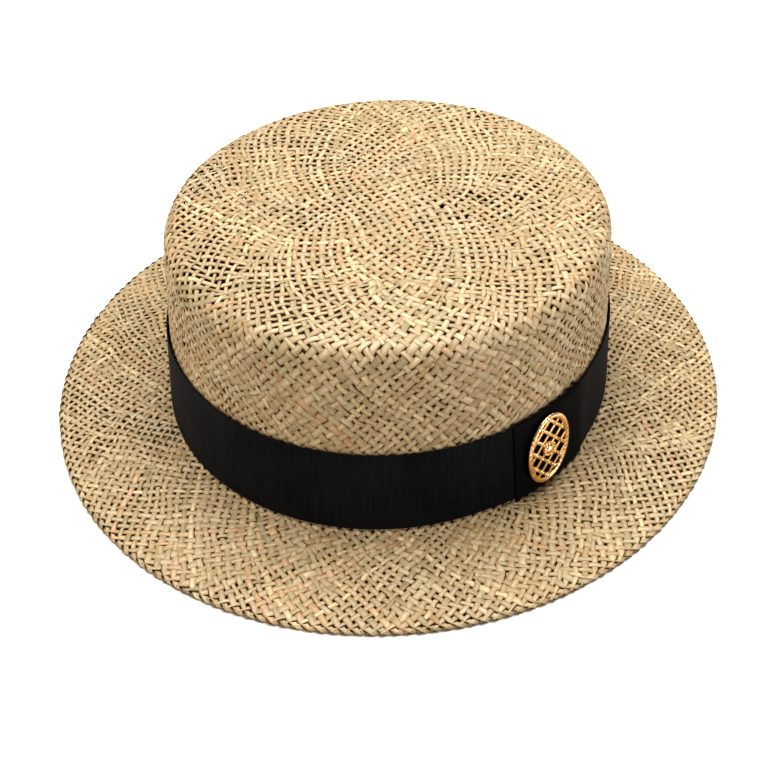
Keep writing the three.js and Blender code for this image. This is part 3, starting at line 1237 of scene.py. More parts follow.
@dataclass
class WovenBody:
    """The crown and brim, woven in one from flat straws that pass over and under one another.

    Args:
        form: The hat that is woven.
        layout: Where its straws go.
        width: Usual width of a straw.
        thickness: Usual thickness of its flat part.
        lift: How far it is above or below the middle of the weave as it passes another.
        ramp_start: Where it starts to go from over to under, as a part of the way between two crossings.
        wobble: How far it strays sideways.
        uneven: How unevenly wide one straw is.
        drift: How much the straws' width changes slowly over the hat.
        least_room: Least room that still makes a straw narrower, as a part of the usual pitch.
        most_room: Most room that still makes it wider.
        end_skirt: Size of its thin sides at its turned ends, as a part of the usual size.
        closer: How much wider the straws are at the front of the crown.
        close_side: Direction of that front, in degrees.
        close_spread: Where it starts and is full, as the cosine of the angle from its direction.
        close_from: Where it starts and is full, by distance from the top's middle.
        brim_closer: How much wider the straws are at the front of the brim.
        brim_from: Where the crown's front gives way to the brim's, by distance from the top's middle.
        looser: How much narrower they are at the loose shoulder.
        loose_side: Direction of that shoulder, in degrees.
        loose_spread: Where it starts and is full, as the cosine of the angle from its direction.
        loose_from: Where it starts and is full, by distance from the top's middle.
        loose_until: Where it starts to end and has ended.
        turn_over: Points on each side of a straw's innermost one over which its two legs' drifts are mixed.
        lean: How far a straw leans about its own length, in degrees.
        thinnest: Thickness of its narrowest stretches, as a part of the usual one.
        narrowest: Width of the narrowest straws, as a part of the usual one.
        widest: Width of the widest straws.
        smooth_angle: Edges sharper than this stay sharp, in degrees.
        fibre_length: Length of straw for each unit of the fibre map.
        fibre_shift: How far the map is shifted from one straw to the next.
        map_margin: Border inside each row of the flat map, as a part of its height.
        cap_reach: Radius of a straw's end in its cell of the flat map, as a part of the cell.
        seed: Start of the random numbers.
        section: Corners of a straw's section, in widths and thicknesses. The last two end its thin sides,
            which flare out beneath the gaps as a dark sheet that carries painted shade.
        rim: How a straw's outer end is turned under.
        tuck: How its inner end is tucked in.
    """

    form: HatForm
    layout: WeaveLayout
    width: float = 1.93 * MM
    thickness: float = 0.22 * MM
    lift: float = 0.11 * MM
    ramp_start: float = 0.30
    wobble: float = 0.10 * MM
    uneven: float = 0.08
    drift: float = 0.12
    least_room: float = 0.6
    most_room: float = 1.6
    end_skirt: float = 0.5
    closer: float = 0.215
    close_side: float = -80.0
    close_spread: tuple[float, float] = (0.3, 0.9)
    close_from: tuple[float, float] = (75.0 * MM, 100.0 * MM)
    brim_closer: float = 0.135
    brim_from: tuple[float, float] = (148.0 * MM, 166.0 * MM)
    looser: float = 0.15
    loose_side: float = -165.0
    loose_spread: tuple[float, float] = (0.2, 0.9)
    loose_from: tuple[float, float] = (45.0 * MM, 72.0 * MM)
    loose_until: tuple[float, float] = (118.0 * MM, 135.0 * MM)
    turn_over: float = 6.0
    lean: float = 6.0
    thinnest: float = 0.6
    narrowest: float = 0.86
    widest: float = 1.14
    smooth_angle: float = 60.0
    fibre_length: float = 10.0 * MM
    fibre_shift: float = 0.37
    map_margin: float = 0.06
    cap_reach: float = 0.36
    seed: int = 5
    # The last two corners flare the sides out beneath the gaps, a sheet for the painted gap shade.
    section: tuple[tuple[float, float], ...] = (
        (0.5, 0.05), (0.43, 0.5), (-0.43, 0.5), (-0.5, 0.05), (-0.67, -1.6), (0.67, -1.6),
    )
    rim: EdgeTurn = EdgeTurn(4.0 * MM, 0.48 * MM, 0.36 * MM, 3.0 * MM, 0.90, 6.0)
    tuck: EdgeTurn = EdgeTurn(-1.5 * MM, 0.35 * MM, 0.26 * MM, 3.0 * MM, 0.62, 0.0)

    def build(self) -> list[bpy.types.Object]:
        """Weaves the body.

        Returns:
            A piece for each shade of straw.
        """
        self.rng = np.random.default_rng(self.seed)
        self.slow = (Drift(self.rng), Drift(self.rng))
        straws = self.layout.build()
        shades = list(StrawShade)
        chosen = self.rng.choice(len(shades), len(straws), p=[s.share for s in shades])
        strands = [self._strand(straw) for straw in straws]
        tones = self.rng.uniform(0, 1, len(straws))
        pieces = []
        for index, shade in enumerate(shades):
            mine = [k for k in range(len(straws)) if chosen[k] == index]
            piece = self._piece(f"woven_straw_{shade.name.lower()}", [strands[k] for k in mine], tones[mine])
            dress(piece, shade.finish().material(), "woven_body")
            pieces.append(piece)
        return pieces

    def _uneven(self, count: int, size: float) -> np.ndarray:
        """Returns small random numbers that follow one another smoothly."""
        rough = self.rng.normal(0, 1, count + len(SOFTENING) - 1)
        return np.convolve(rough, SOFTENING, "valid") * size

    def _between(self, straw: Straw) -> tuple[np.ndarray, np.ndarray, np.ndarray]:
        """Curves a straw through its crossings.

        Args:
            straw: The straw.

        Returns:
            Flat spots before and after each crossing, their lift, and the room there.
        """
        spots = np.concatenate([2 * straw.spots[:1] - straw.spots[1:2], straw.spots,
                                2 * straw.spots[-1:] - straw.spots[-2:-1]])
        before, here, there, after = spots[:-3], spots[1:-2], spots[2:-1], spots[3:]
        flat = np.empty((2 * len(here), 2))
        for which, t in enumerate((self.ramp_start, 1 - self.ramp_start)):
            flat[which::2] = 0.5 * (
                2 * here + (there - before) * t + (2 * before - 5 * here + 4 * there - after) * t**2
                + (3 * here - before - 3 * there + after) * t**3
            )
        sides = np.empty(len(flat))
        sides[::2], sides[1::2] = straw.sides[:-1], straw.sides[1:]
        room = np.empty(len(flat))
        room[::2], room[1::2] = straw.room[:-1], straw.room[1:]
        return flat, sides * self.lift, np.clip(room, self.least_room, self.most_room)

    def _strand(self, straw: Straw) -> np.ndarray:
        """Shapes a straw, from one tip to the other.

        Args:
            straw: The straw.

        Returns:
            The section points, as sections by corners by three.
        """
        flat, lift, room = self._between(straw)
        points, normals = self.form.place(flat)
        points = points + normals * lift[:, None]
        beyond = np.arange(len(flat)) - np.argmin(np.hypot(*flat.T))
        second = smoothstep(-self.turn_over, self.turn_over, beyond)
        slow = self.slow[0].at(flat) * (1 - second) + self.slow[1].at(flat) * second
        size = room * (1 + self.drift * slow)
        size *= 1 + self._wider(flat)
        roll = np.zeros(len(flat))
        tucked, tucked_normals = self.tuck.path(self.form, self._edge_angle(flat[0], -1))
        rimmed, rim_normals = self.rim.path(self.form, self._edge_angle(flat[-1], 1))
        count = len(tucked)
        points = np.concatenate([tucked[::-1], points, rimmed])
        normals = np.concatenate([tucked_normals[::-1], normals, rim_normals])
        size = np.concatenate([np.full(count, self.tuck.size), size, np.full(len(rimmed), self.rim.size)])
        roll = np.concatenate([np.full(count, self.tuck.roll), roll, np.full(len(rimmed), self.rim.roll)])
        inner = np.zeros(len(points))
        inner[count:-len(rimmed)] = 1.0
        return self._sweep(points, normals, size, roll, inner)

    def _wider(self, flat: np.ndarray) -> np.ndarray:
        """Makes the weave closer in front and looser at one shoulder.

        Args:
            flat: Flat spots.

        Returns:
            How much wider the straws are there.
        """
        out, angle = np.hypot(*flat.T), np.arctan2(flat[:, 1], flat[:, 0])
        front = smoothstep(*self.close_spread, np.cos(angle - math.radians(self.close_side)))
        loose = smoothstep(*self.loose_spread, np.cos(angle - math.radians(self.loose_side)))
        loose *= smoothstep(*self.loose_from, out) * (1 - smoothstep(*self.loose_until, out))
        closer = self.closer + (self.brim_closer - self.closer) * smoothstep(*self.brim_from, out)
        return closer * front * smoothstep(*self.close_from, out) - self.looser * loose

    def _edge_angle(self, spot: np.ndarray, heading: int) -> float:
        """Returns the angle at which a straw that leaves a flat spot at 45 degrees meets the rim."""
        to_go = self.form.length - math.hypot(*spot)
        return math.atan2(spot[1], spot[0]) + heading * to_go / self.form.edge_radius

    def _sweep(self, points: np.ndarray, normals: np.ndarray, size: np.ndarray, roll: np.ndarray,
               inner: np.ndarray) -> np.ndarray:
        """Carries the straw's section along its points.

        Args:
            points: Middle of each section.
            normals: Which way its flat side faces.
            size: Width, as a part of the usual one.
            roll: Lean about its own length, in degrees.
            inner: 1 where the straw has its full skirt, and 0 at its turned ends.

        Returns:
            The section points, as sections by corners by three.
        """
        count = len(points)
        along = unit(np.gradient(points, axis=0))
        across = unit(np.cross(normals, along))
        points = points + across * self._uneven(count, self.wobble)[:, None]
        facing = np.cross(along, across)
        lean = np.radians(roll + self._uneven(count, self.lean))[:, None]
        across, facing = (across * np.cos(lean) + facing * np.sin(lean),
                          facing * np.cos(lean) - across * np.sin(lean))
        factor = self.rng.uniform(self.narrowest, self.widest)
        width = self.width * factor * size * (1 + self._uneven(count, self.uneven))
        thickness = self.thickness * np.clip(size, self.thinnest, 1.0)
        skirt = self.end_skirt + (1 - self.end_skirt) * inner
        rings = []
        for x, y in self.section:
            scale = skirt if y < 0 else 1.0
            aside, above = (width * x * scale)[:, None], (thickness * y * scale)[:, None]
            rings.append(points + across * aside + facing * above)
        return np.stack(rings, 1)

    def _piece(self, name: str, strands: list[np.ndarray], tones: np.ndarray) -> bpy.types.Object:
        """Joins strands into one mesh, with its fibre map, its flat map and its tones.

        Args:
            name: The piece's name.
            strands: Section points of each strand.
            tones: How pale each strand is, from 0 to 1.

        Returns:
            The piece.
        """
        corners = len(self.section)
        around = np.arange(corners)
        after = (around + 1) % corners
        quads, caps, fibre, cap_fibre = [], [], [], []
        base = 0
        for number, strand in enumerate(strands):
            rows = np.arange(len(strand) - 1)[:, None] * corners + base
            quads.append(np.stack([rows + around, rows + after, rows + corners + after,
                                   rows + corners + around], -1).reshape(-1, 4))
            last = base + (len(strand) - 1) * corners
            caps.extend([base + around[::-1], last + around])
            length = lengths_along(strand.mean(1))
            length = (length / self.fibre_length + number * self.fibre_shift)[:, None]
            near, far = length[:-1], length[1:]
            low, high = around / corners + number, (around + 1) / corners + number
            near, far, low, high = np.broadcast_arrays(near, far, low, high)
            fibre.append(np.stack([np.stack([near, low], -1), np.stack([near, high], -1),
                                   np.stack([far, high], -1), np.stack([far, low], -1)], 2).reshape(-1, 2))
            cap_fibre.extend((float(length[0, 0]), spot / corners + number) for spot in around[::-1])
            cap_fibre.extend((float(length[-1, 0]), spot / corners + number) for spot in around)
            base += len(strand) * corners
        faces = np.concatenate([np.concatenate(quads).ravel(), np.concatenate(caps)])
        sizes = np.concatenate([np.full(sum(map(len, quads)), 4), np.full(len(caps), corners)])
        points = np.concatenate([strand.reshape(-1, 3) for strand in strands])
        obj = self._mesh(name, points, faces, sizes)
        add_map(obj, "Fibre", np.concatenate([*fibre, np.array(cap_fibre)]))
        add_map(obj, "OFBake", self._flat_map(sum(map(len, quads)) // corners, len(caps)))
        tone = np.repeat(tones, [len(strand) * corners for strand in strands])
        obj.data.attributes.new("tone", "FLOAT", "POINT").data.foreach_set("value", tone)
        smooth(obj, self.smooth_angle)
        return obj

    def _mesh(self, name: str, points: np.ndarray, faces: np.ndarray, sizes: np.ndarray) -> bpy.types.Object:
        """Makes a mesh object.

        Args:
            name: Its name.
            points: Its points.
            faces: The points at the corners of all its faces, in a row.
            sizes: How many corners each face has.

        Returns:
            The object.
        """
        mesh = bpy.data.meshes.new(name)
        mesh.vertices.add(len(points))
        mesh.vertices.foreach_set("co", points.ravel())
        mesh.loops.add(len(faces))
        mesh.loops.foreach_set("vertex_index", faces)
        mesh.polygons.add(len(sizes))
        mesh.polygons.foreach_set("loop_start", np.concatenate([[0], np.cumsum(sizes)[:-1]]))
        mesh.update(calc_edges=True)
        obj = bpy.data.objects.new(name, mesh)
        bpy.context.scene.collection.objects.link(obj)
        return obj

    def _flat_map(self, segments: int, caps: int) -> np.ndarray:
        """Lays the segments out in rows, the faces round a straw stacked, and each cap in a cell of its own.

        Args:
            segments: How many lengths between two sections there are.
            caps: How many ends there are.

        Returns:
            A row for each corner of each face.
        """
        corners = len(self.section)
        rows = max(1, round(math.sqrt((segments + caps) / corners * 2)))
        per_row = math.ceil((segments + caps) / rows)
        cell = np.arange(segments)
        left, right = (cell % per_row) / per_row, (cell % per_row + 1) / per_row
        bottom = cell // per_row
        step = (1 - 2 * self.map_margin) / corners
        low = (bottom[:, None] + self.map_margin + np.arange(corners) * step) / rows
        high = low + step / rows
        left, right = (np.broadcast_to(side[:, None], low.shape) for side in (left, right))
        quads = np.stack([np.stack([left, low], -1), np.stack([left, high], -1),
                          np.stack([right, high], -1), np.stack([right, low], -1)], 2).reshape(-1, 2)
        cell = segments + np.arange(caps)
        turn = np.arange(corners) * FULL_TURN / corners
        x = (cell[:, None] % per_row + 0.5 + self.cap_reach * np.cos(turn)) / per_row
        y = (cell[:, None] // per_row + 0.5 + self.cap_reach * np.sin(turn)) / rows
        return np.concatenate([quads, np.stack([x, y], -1).reshape(-1, 2)])


# ------------------------------------------------------------------------------------ ribbon and its keeper


@dataclass(frozen=True)
class Grosgrain:
    """The ribbon that the band and the keeper are cut from.

    Args:
        thickness: Its thickness.
        rib_pitch: From one rib to the next.
        rib_height: How far the ribs stand out.
        steps_a_rib: Points along one rib's wave.
        selvedge: Width of the smooth strip at each edge.
        cloth_unit: Length of ribbon for each unit of the cloth map.
        seam: Points closer than this are joined.
        smooth_angle: Edges sharper than this stay sharp, in degrees.
    """

    thickness: float = 0.5 * MM
    rib_pitch: float = 0.75 * MM
    rib_height: float = 0.05 * MM
    steps_a_rib: int = 3
    selvedge: float = 0.8 * MM
    cloth_unit: float = 10.0 * MM
    seam: float = 0.01 * MM
    smooth_angle: float = 50.0

    def ribs(self, length: float) -> int:
        """Returns how many whole ribs a length of ribbon has."""
        return round(length / self.rib_pitch)

    def relief(self, share: np.ndarray, ribs: int, from_edge: np.ndarray) -> np.ndarray:
        """Returns how far the ribs stand out at some share of the length, some way in from the edge."""
        return self.rib_height * np.cos(share * ribs * FULL_TURN) * smoothstep(0, self.selvedge, from_edge)

    def cut(self, name: str, ribs: int, rows: int) -> tuple[bpy.types.Object, np.ndarray, np.ndarray]:
        """Cuts a flat ribbon.

        Args:
            name: The piece's name.
            ribs: How many ribs it has along its length.
            rows: How many faces it has across its width.

        Returns:
            The ribbon, and for each of its points the share of its length and of its width, from 0 to 1.
        """
        ribbon = primitive(bpy.ops.mesh.primitive_grid_add, x_subdivisions=ribs * self.steps_a_rib,
                           y_subdivisions=rows, size=1)
        ribbon.name = ribbon.data.name = name
        ribbon.data.uv_layers.remove(ribbon.data.uv_layers[0])
        grid = points_of(ribbon)
        return ribbon, grid[:, 0] + 0.5, grid[:, 1] + 0.5

    def sew(self, ribbon: bpy.types.Object, cloth: np.ndarray, points: np.ndarray, offset: float) -> None:
        """Lays a cut ribbon in its place, joins its ends and gives it its thickness.

        Args:
            ribbon: The cut ribbon.
            cloth: Distance along it and across it, for each point.
            points: Where each point goes.
            offset: Which side the thickness goes to: -1 for inward, 0 for both.
        """
        add_map(ribbon, "Cloth", (cloth / self.cloth_unit)[corners_of(ribbon)])
        move_points(ribbon, points)
        edit(ribbon, lambda: bpy.ops.mesh.remove_doubles(threshold=self.seam),
             lambda: bpy.ops.mesh.normals_make_consistent(inside=False))
        apply_modifier(ribbon, "SOLIDIFY", thickness=self.thickness, offset=offset)
        smooth(ribbon, self.smooth_angle)


@dataclass
class RibbonBand:
    """The black ribbon round the foot of the crown, with fine upright ribs and bound edges.

    Args:
        form: The hat that it goes round.
        base: Height of its lower edge.
        top: Height of its upper edge.
        keeper_middle: Angle of the keeper's middle.
        keeper_reach: From the keeper's middle to its side.
        gap: From the keeper's side to where the band starts to near the crown.
        bulge: How much further out the band is behind the keeper.
        bulge_ease: Length over which it nears the crown.
        face: From the crown to its outer face.
        rows: How many faces it has across its width.
        ribbon: What it is cut from.
    """

    form: HatForm
    base: float
    top: float
    keeper_middle: float
    keeper_reach: float
    gap: float = 0.4 * MM
    bulge: float = 0.75 * MM
    bulge_ease: float = 12.0 * MM
    face: float = 1.1 * MM
    rows: int = 9
    ribbon: Grosgrain = Grosgrain()

    def stand_off(self, angle: np.ndarray) -> np.ndarray:
        """Finds how far the band's outer face is from the crown, more where the keeper's back lies under it.

        Args:
            angle: Angles round the hat.

        Returns:
            The distance at each.
        """
        past = np.abs(wrapped(angle - self.keeper_middle)) * self.form.speed(self.keeper_middle)
        past -= self.keeper_reach
        return self.face + self.bulge * (1 - smoothstep(self.gap, self.gap + self.bulge_ease, past))

    def build(self) -> bpy.types.Object:
        """Builds and dresses the band.

        Returns:
            The band.
        """
        length, width = FULL_TURN * self.form.foot_radius, self.top - self.base
        ribs = self.ribbon.ribs(length)
        band, share, up = self.ribbon.cut("grosgrain_band", ribs, self.rows)
        rise = 0.5 - 0.5 * np.cos(up * math.pi)
        angle = self.keeper_middle + share * FULL_TURN
        height = self.base + rise * width
        from_edge = np.minimum(height - self.base, self.top - height)
        out = self.stand_off(angle) + self.ribbon.relief(share, ribs, from_edge)
        points = self.form.oval(self.form.wall_radius(height) + out, angle, height)
        self.ribbon.sew(band, np.stack([share * length, rise * width], 1), points, -1.0)
        dress(band, RibbonBlack.BAND.finish().material(), "ribbon_band")
        return band


@dataclass
class RibbonKeeper:
    """The short loop of the same ribbon that wraps the band's join, its ribs lying level.

    Args:
        form: The hat that it is on.
        middle: Angle of its middle.
        base: Height of the band's lower edge.
        top: Height of the band's upper edge.
        reach: From its middle to its side.
        slant: How far it leans along the band, as a part of its height.
        back: From the crown to its back, halfway through the ribbon.
        front: From the crown to its front, halfway through the ribbon.
        below: How far it reaches below the band.
        above: How far it reaches above the band.
        fold: Rounding of its folds.
        fold_steps: Points round each fold.
        rows: How many faces it has across its width.
        ribbon: What it is cut from.
    """

    form: HatForm
    middle: float
    base: float
    top: float
    reach: float = 18.5 * MM
    slant: float = 0.07
    back: float = 0.85 * MM
    front: float = 2.40 * MM
    below: float = 0.75 * MM
    above: float = 0.65 * MM
    fold: float = 0.7 * MM
    fold_steps: int = 7
    rows: int = 28
    ribbon: Grosgrain = Grosgrain()

    def _loop(self, share: np.ndarray) -> tuple[np.ndarray, np.ndarray, np.ndarray, np.ndarray, float]:
        """Follows the loop's section, an upright rounded rectangle.

        Args:
            share: How far round, from 0 to 1.

        Returns:
            Distance out from the crown, height, the outward direction's two parts, and the loop's length.
        """
        low, high = self.base - self.below, self.top + self.above
        centres = [(self.front, low), (self.front, high), (self.back, high), (self.back, low)]
        path = []
        for index, (out, height) in enumerate(centres):
            middle = np.array([out + (self.fold if out == self.back else -self.fold),
                               height + (self.fold if height == low else -self.fold)])
            begin = math.pi * 1.5 + index * QUARTER_TURN
            for turn in np.linspace(begin, begin + QUARTER_TURN, self.fold_steps):
                facing = np.array([math.cos(turn), math.sin(turn)])
                path.append(np.concatenate([middle + facing * self.fold, facing]))
        path.append(path[0])
        rows = np.array(path)
        length = lengths_along(rows[:, :2])
        out, height, facing_out, facing_up = (np.interp(share * length[-1], length, c) for c in rows.T)
        return out, height, facing_out, facing_up, float(length[-1])

    def build(self) -> bpy.types.Object:
        """Builds and dresses the keeper.

        Returns:
            The keeper.
        """
        length = self._loop(np.zeros(1))[-1]
        ribs = self.ribbon.ribs(length)
        keeper, share, side = self.ribbon.cut("grosgrain_keeper", ribs, self.rows)
        along = (side - 0.5) * 2 * self.reach
        out, height, facing_out, facing_up, _ = self._loop(share)
        relief = self.ribbon.relief(share, ribs, self.reach - np.abs(along))
        across = along + ((self.base + self.top) / 2 - height) * self.slant
        points = self.form.beside(self.middle, across, height + facing_up * relief, out + facing_out * relief)
        self.ribbon.sew(keeper, np.stack([share * length, along], 1), points, 0.0)
        # The keeper's darker black is painted shade.
        dress(keeper, RibbonBlack.KEEPER.finish().material(), "ribbon_keeper")
        return keeper


# ------------------------------------------------------------------------------------------- the ornament


@dataclass
class Ornament:
    """The gilt ornament on the keeper: an oval roped ring, a lattice with studs, and a beaded boss.

    It is made lying flat, x along the ribbon and y up, and is then stood against the keeper.

    Args:
        form: The hat that it is on.
        middle: Angle of the keeper's middle.
        height: Height of the band's middle.
        shift: From the keeper's middle to the ornament's, along the band.
        lift: From the band's middle up to the ornament's.
        out: From the crown to the ornament's back.
        width: Width over the ring.
        tall: Height over the ring.
        ring: Width of the ring's rope.
        depth: Depth of the ring's rope.
        rope_points: Points along the ring.
        rope_sides: Points round the rope.
        rope_turns: How many ridges the rope shows along the ring.
        rope_relief: How deep the rope's grooves are.
        bar: Width of a lattice bar.
        bar_depth: Depth of a bar.
        bar_bevel: Bevel of a bar's edges.
        bar_inset: From the ring's outer edge in to the bars' ends, as a part of its rope's width.
        pitch: From one bar to the next.
        reach: How many bars there are on each side of the middle one.
        stud: Radius of a stud.
        stud_rise: Height of a stud, as a part of its radius.
        boss: Radius of the boss's plate.
        boss_depth: Height of the boss over the ornament's back.
        dome: Radius of its dome, as a part of the plate's.
        plate_lift: How far the plate stands off the ornament's back.
        plate_bevel: Bevel of the plate's edges.
        plate_sides: Points round the plate.
        beads: How many beads there are round the boss.
        bead: Radius of a bead.
        bead_rise: Height of a bead, as a part of its radius.
        bead_lift: How far the beads' middles are above the bars.
        ball_sides: Points round a stud or a bead.
        dome_sides: Points round the dome.
        smooth_angle: Edges sharper than this stay sharp, in degrees.
    """

    form: HatForm
    middle: float
    height: float
    shift: float = -3.5 * MM
    lift: float = 1.2 * MM
    out: float = 3.2 * MM
    width: float = 22.0 * MM
    tall: float = 31.0 * MM
    ring: float = 2.4 * MM
    depth: float = 1.8 * MM
    rope_points: int = 264
    rope_sides: int = 14
    rope_turns: int = 44
    rope_relief: float = 0.13 * MM
    bar: float = 1.5 * MM
    bar_depth: float = 1.2 * MM
    bar_bevel: float = 0.35 * MM
    bar_inset: float = 0.6
    pitch: float = 4.6 * MM
    reach: int = 3
    stud: float = 0.85 * MM
    stud_rise: float = 0.7
    boss: float = 3.2 * MM
    boss_depth: float = 2.6 * MM
    dome: float = 0.72
    plate_lift: float = 0.15 * MM
    plate_bevel: float = 0.3 * MM
    plate_sides: int = 48
    beads: int = 14
    bead: float = 0.62 * MM
    bead_rise: float = 0.9
    bead_lift: float = 0.2 * MM
    ball_sides: int = 12
    dome_sides: int = 32
    smooth_angle: float = 40.0

    def build(self) -> bpy.types.Object:
        """Builds, places and dresses the ornament.

        Returns:
            The ornament.
        """
        parts = [self._ring(), *self._lattice(), *self._boss()]
        choose(*parts)
        bpy.ops.object.join()
        ornament = bpy.context.object
        ornament.name = ornament.data.name = "gilt_lattice_ornament"
        ornament.data.transform(self._stand())
        edit(ornament, lambda: bpy.ops.mesh.normals_make_consistent(inside=False))
        smooth(ornament, self.smooth_angle)
        dress(ornament, GiltFinish("gilt").material(), "ornament")
        return ornament

    def _stand(self) -> Matrix:
        """Finds the move that stands the flat ornament against the keeper.

        Returns:
            The move.
        """
        step = 1.0 * MM
        along = np.array([-step, step, 0.0, 0.0, 0.0]) + self.shift
        height = self.height + self.lift + np.array([0.0, 0.0, -step, step, 0.0])
        spots = self.form.beside(self.middle, along, height, np.full(5, self.out))
        x, y = Vector(spots[1] - spots[0]).normalized(), Vector(spots[3] - spots[2]).normalized()
        turned = Matrix((x, y, x.cross(y))).transposed().to_4x4()
        return Matrix.Translation(Vector(spots[4])) @ turned

    def _ring(self) -> bpy.types.Object:
        """Shapes the oval ring, twisted like a rope.

        Returns:
            The ring.
        """
        thin = 0.25
        ring = primitive(bpy.ops.mesh.primitive_torus_add, major_segments=self.rope_points,
                         minor_segments=self.rope_sides, major_radius=1, minor_radius=thin)
        rows = points_of(ring)
        turn = np.arctan2(rows[:, 1], rows[:, 0])
        across, up = (np.hypot(rows[:, 0], rows[:, 1]) - 1) / thin, rows[:, 2] / thin
        semi_x, semi_y = (self.width - self.ring) / 2, (self.tall - self.ring) / 2
        facing = unit(np.stack([np.cos(turn) / semi_x, np.sin(turn) / semi_y], 1))
        strand = np.cos(turn * self.rope_turns + 2 * np.arctan2(up, across))
        scale = 1 - self.rope_relief / (self.ring / 2) * (1 - strand) / 2
        middle = np.stack([semi_x * np.cos(turn), semi_y * np.sin(turn)], 1)
        flat = middle + facing * (across * scale * self.ring / 2)[:, None]
        move_points(ring, np.column_stack([flat, self.depth / 2 * (1 + up * scale)]))
        return ring

    def _lattice(self) -> list[bpy.types.Object]:
        """Makes the bars that cross inside the ring, with a stud on each crossing.

        Returns:
            The bars and studs.
        """
        semi_x, semi_y = (side / 2 - self.ring * self.bar_inset for side in (self.width, self.tall))
        parts = []
        for heading in (math.pi / 4, -math.pi / 4):
            along = np.array([math.cos(heading), math.sin(heading)])
            across = np.array([-along[1], along[0]])
            for number in range(-self.reach, self.reach + 1):
                foot = across * number * self.pitch
                square = (along[0] / semi_x) ** 2 + (along[1] / semi_y) ** 2
                linear = foot[0] * along[0] / semi_x**2 + foot[1] * along[1] / semi_y**2
                rest = (foot[0] / semi_x) ** 2 + (foot[1] / semi_y) ** 2 - 1
                root = linear**2 - square * rest
                if root <= 0:
                    continue
                near, far = ((-linear + sign * math.sqrt(root)) / square for sign in (-1, 1))
                parts.append(self._bar(foot + along * (near + far) / 2, far - near, heading))
        for i in range(-self.reach, self.reach + 1):
            for j in range(-self.reach, self.reach + 1):
                x, y = (i - j) * self.pitch / math.sqrt(2), (i + j) * self.pitch / math.sqrt(2)
                inside = (x / (semi_x - self.stud)) ** 2 + (y / (semi_y - self.stud)) ** 2 < 1
                if inside and math.hypot(x, y) > self.boss + self.bead:
                    place = (x, y, self.bar_depth)
                    parts.append(self._ball(self.stud, self.stud_rise, place, self.ball_sides))
        return parts

    def _bar(self, middle: np.ndarray, length: float, heading: float) -> bpy.types.Object:
        """Makes a lattice bar with bevelled edges.

        Args:
            middle: Where its middle is.
            length: Its length.
            heading: Its direction.

        Returns:
            The bar.
        """
        bar = primitive(bpy.ops.mesh.primitive_cube_add, size=1)
        bar.data.transform(Matrix.Diagonal((length, self.bar, self.bar_depth, 1.0)))
        apply_modifier(bar, "BEVEL", width=self.bar_bevel, segments=2)
        place = Matrix.Translation((*middle, self.bar_depth / 2))
        bar.data.transform(place @ Matrix.Rotation(heading, 4, "Z"))
        return bar

    def _ball(self, radius: float, squash: float, middle: tuple[float, float, float],
              segments: int) -> bpy.types.Object:
        """Makes a flattened ball.

        Args:
            radius: Its radius.
            squash: Its height, as a part of its width.
            middle: Where its middle is.
            segments: Points round it.

        Returns:
            The ball.
        """
        ball = primitive(bpy.ops.mesh.primitive_uv_sphere_add, segments=segments, ring_count=segments // 2,
                         radius=radius)
        ball.data.transform(Matrix.Translation(middle) @ Matrix.Diagonal((1, 1, squash, 1)))
        return ball

    def _boss(self) -> list[bpy.types.Object]:
        """Makes the domed boss and the beads round it.

        Returns:
            The dome, the plate and the beads.
        """
        radius, rise = self.boss * self.dome, self.boss_depth - self.bar_depth
        parts = [self._ball(radius, rise / radius, (0, 0, self.bar_depth), self.dome_sides)]
        plate = primitive(bpy.ops.mesh.primitive_cylinder_add, vertices=self.plate_sides, radius=self.boss,
                          depth=self.bar_depth)
        apply_modifier(plate, "BEVEL", width=self.plate_bevel, segments=2, limit_method="ANGLE")
        plate.data.transform(Matrix.Translation((0, 0, self.bar_depth / 2 + self.plate_lift)))
        parts.append(plate)
        away, up = self.boss - self.bead, self.bar_depth + self.bead_lift
        for number in range(self.beads):
            turn = number * FULL_TURN / self.beads
            place = (math.cos(turn) * away, math.sin(turn) * away, up)
            parts.append(self._ball(self.bead, self.bead_rise, place, self.ball_sides))
        return parts


# --------------------------------------------------------------------------------------------- the studio


Place = tuple[float, float, float]


@dataclass(frozen=True)
class Lamp:
    """A soft square light.

    Args:
        name: Its name.
        power: Its power, in watts.
        size: Length of its sides.
        place: Where it stands.
        tint: Its colour.
    """

    name: str
    power: float
    size: float
    place: Place
    tint: Colour = (1.0, 1.0, 1.0)

    def build(self, aim: Place) -> None:
        """Adds the light.

        Args:
            aim: What it faces.
        """
        data = bpy.data.lights.new(self.name, "AREA")
        data.energy, data.size, data.color = self.power, self.size, self.tint
        light = bpy.data.objects.new(self.name, data)
        light.location = self.place
        light.rotation_euler = (Vector(self.place) - Vector(aim)).to_track_quat("Z", "Y").to_euler()
        bpy.context.scene.collection.objects.link(light)


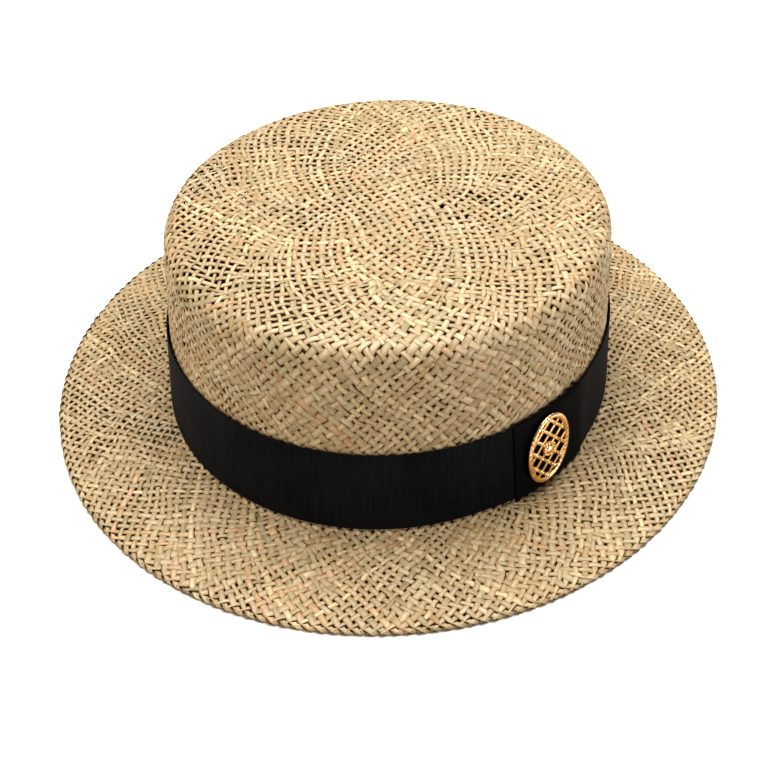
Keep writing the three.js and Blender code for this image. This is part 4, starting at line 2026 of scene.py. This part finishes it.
@dataclass
class Studio:
    """A pale floor, soft lights from above, close over the top and low at both sides, and the camera.

    Args:
        floor_size: Length of the floor's sides.
        sky: Strength of the even light from all round.
        lamps: The lights.
        aim: What they face.
        target_height: Height of what the camera faces.
        azimuth: How far the camera stands round to the wearer's left, in degrees.
        elevation: How high it stands, in degrees.
        roll: How far it leans, in degrees.
        distance: How far away it stands.
        lens: Its focal length, in millimetres.
        rise: How far up the view the hat is moved, as a part of the view.
        view_range: The nearest and furthest that it sees.
        look: The contrast of the picture.
    """

    floor_size: float = 8.0
    sky: float = 0.25
    lamps: tuple[Lamp, ...] = (
        Lamp("key", 24.5, 1.5, (-0.2, 0.1, 1.7)),
        Lamp("top", 0.405, 0.3, (0.08, 0.125, 0.42)),
        Lamp("right", 5.8, 0.35, (1.5, -0.65, 0.22), (1.0, 1.0, 1.08)),
        Lamp("left", 5.8, 0.35, (-1.4, -0.9, 0.22), (1.04, 1.0, 0.92)),
    )
    aim: Place = (0.0, 0.0, 40.0 * MM)
    target_height: float = 5.4 * MM
    azimuth: float = 17.0
    elevation: float = 39.0
    roll: float = -0.6875
    distance: float = 584.7 * MM
    lens: float = 64.615
    rise: float = 0.0365
    view_range: tuple[float, float] = (10 * MM, 50.0)
    look: str = "Very High Contrast"

    def build(self) -> None:
        """Builds the studio."""
        floor = primitive(bpy.ops.mesh.primitive_plane_add, size=self.floor_size)
        floor.name = "floor"
        floor.data.materials.append(FloorFinish("floor").material())
        floor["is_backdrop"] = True
        for lamp in self.lamps:
            lamp.build(self.aim)
        self._sky()
        self._camera()
        bpy.context.scene.view_settings.view_transform = "Standard"
        bpy.context.scene.view_settings.look = self.look

    def _sky(self) -> None:
        """Lights the studio evenly from all sides."""
        world = bpy.data.worlds.new("studio")
        world.use_nodes = True
        background = world.node_tree.nodes["Background"]
        background.inputs["Color"].default_value = (1.0, 1.0, 1.0, 1.0)
        background.inputs["Strength"].default_value = self.sky
        bpy.context.scene.world = world

    def _camera(self) -> None:
        """Places the camera."""
        data = bpy.data.cameras.new("camera")
        data.lens, data.shift_y = self.lens, -self.rise
        data.clip_start, data.clip_end = self.view_range
        camera = bpy.data.objects.new("camera", data)
        azimuth, elevation = math.radians(self.azimuth), math.radians(self.elevation)
        back = Vector((math.sin(azimuth) * math.cos(elevation), -math.cos(azimuth) * math.cos(elevation),
                       math.sin(elevation)))
        right = Vector((0, 0, 1)).cross(back).normalized()
        right = Matrix.Rotation(math.radians(self.roll), 3, back) @ right
        turned = Matrix((right, back.cross(right), back)).transposed().to_4x4()
        place = Vector((0, 0, self.target_height)) + back * self.distance
        camera.matrix_world = Matrix.Translation(place) @ turned
        bpy.context.scene.collection.objects.link(camera)
        bpy.context.scene.camera = camera


# --------------------------------------------------------------------------------------------------- main


# Direction of the keeper from the hat's middle, in degrees: the wearer's left front.
KEEPER_TURN = -32.9


def report(pieces: list[bpy.types.Object]) -> None:
    """Reports each finished piece.

    Args:
        pieces: The pieces.
    """
    for piece in pieces:
        triangles = sum(len(polygon.vertices) - 2 for polygon in piece.data.polygons)
        log.info("%s: %d triangles", piece.name, triangles)


def main() -> None:
    """Builds the hat around the frame, dresses it, and lights it."""
    logging.basicConfig(level=logging.INFO, format="%(message)s")
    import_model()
    frame_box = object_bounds()
    form = HatForm.from_frame()
    middle = form.angle_towards(math.radians(KEEPER_TURN))
    low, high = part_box("ribbon_band")
    report(WovenBody(form, WeaveLayout(form)).build())
    report([RibbonBand(form, low.z, high.z, middle, RibbonKeeper.reach).build()])
    report([RibbonKeeper(form, middle, low.z, high.z).build()])
    report([Ornament(form, middle, (low.z + high.z) / 2).build()])
    Studio().build()
    boxes = {"frame": frame_box, "visual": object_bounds()}
    boxes = {name: [list(corner) for corner in box] for name, box in boxes.items()}


if __name__ == "__main__":
    main()
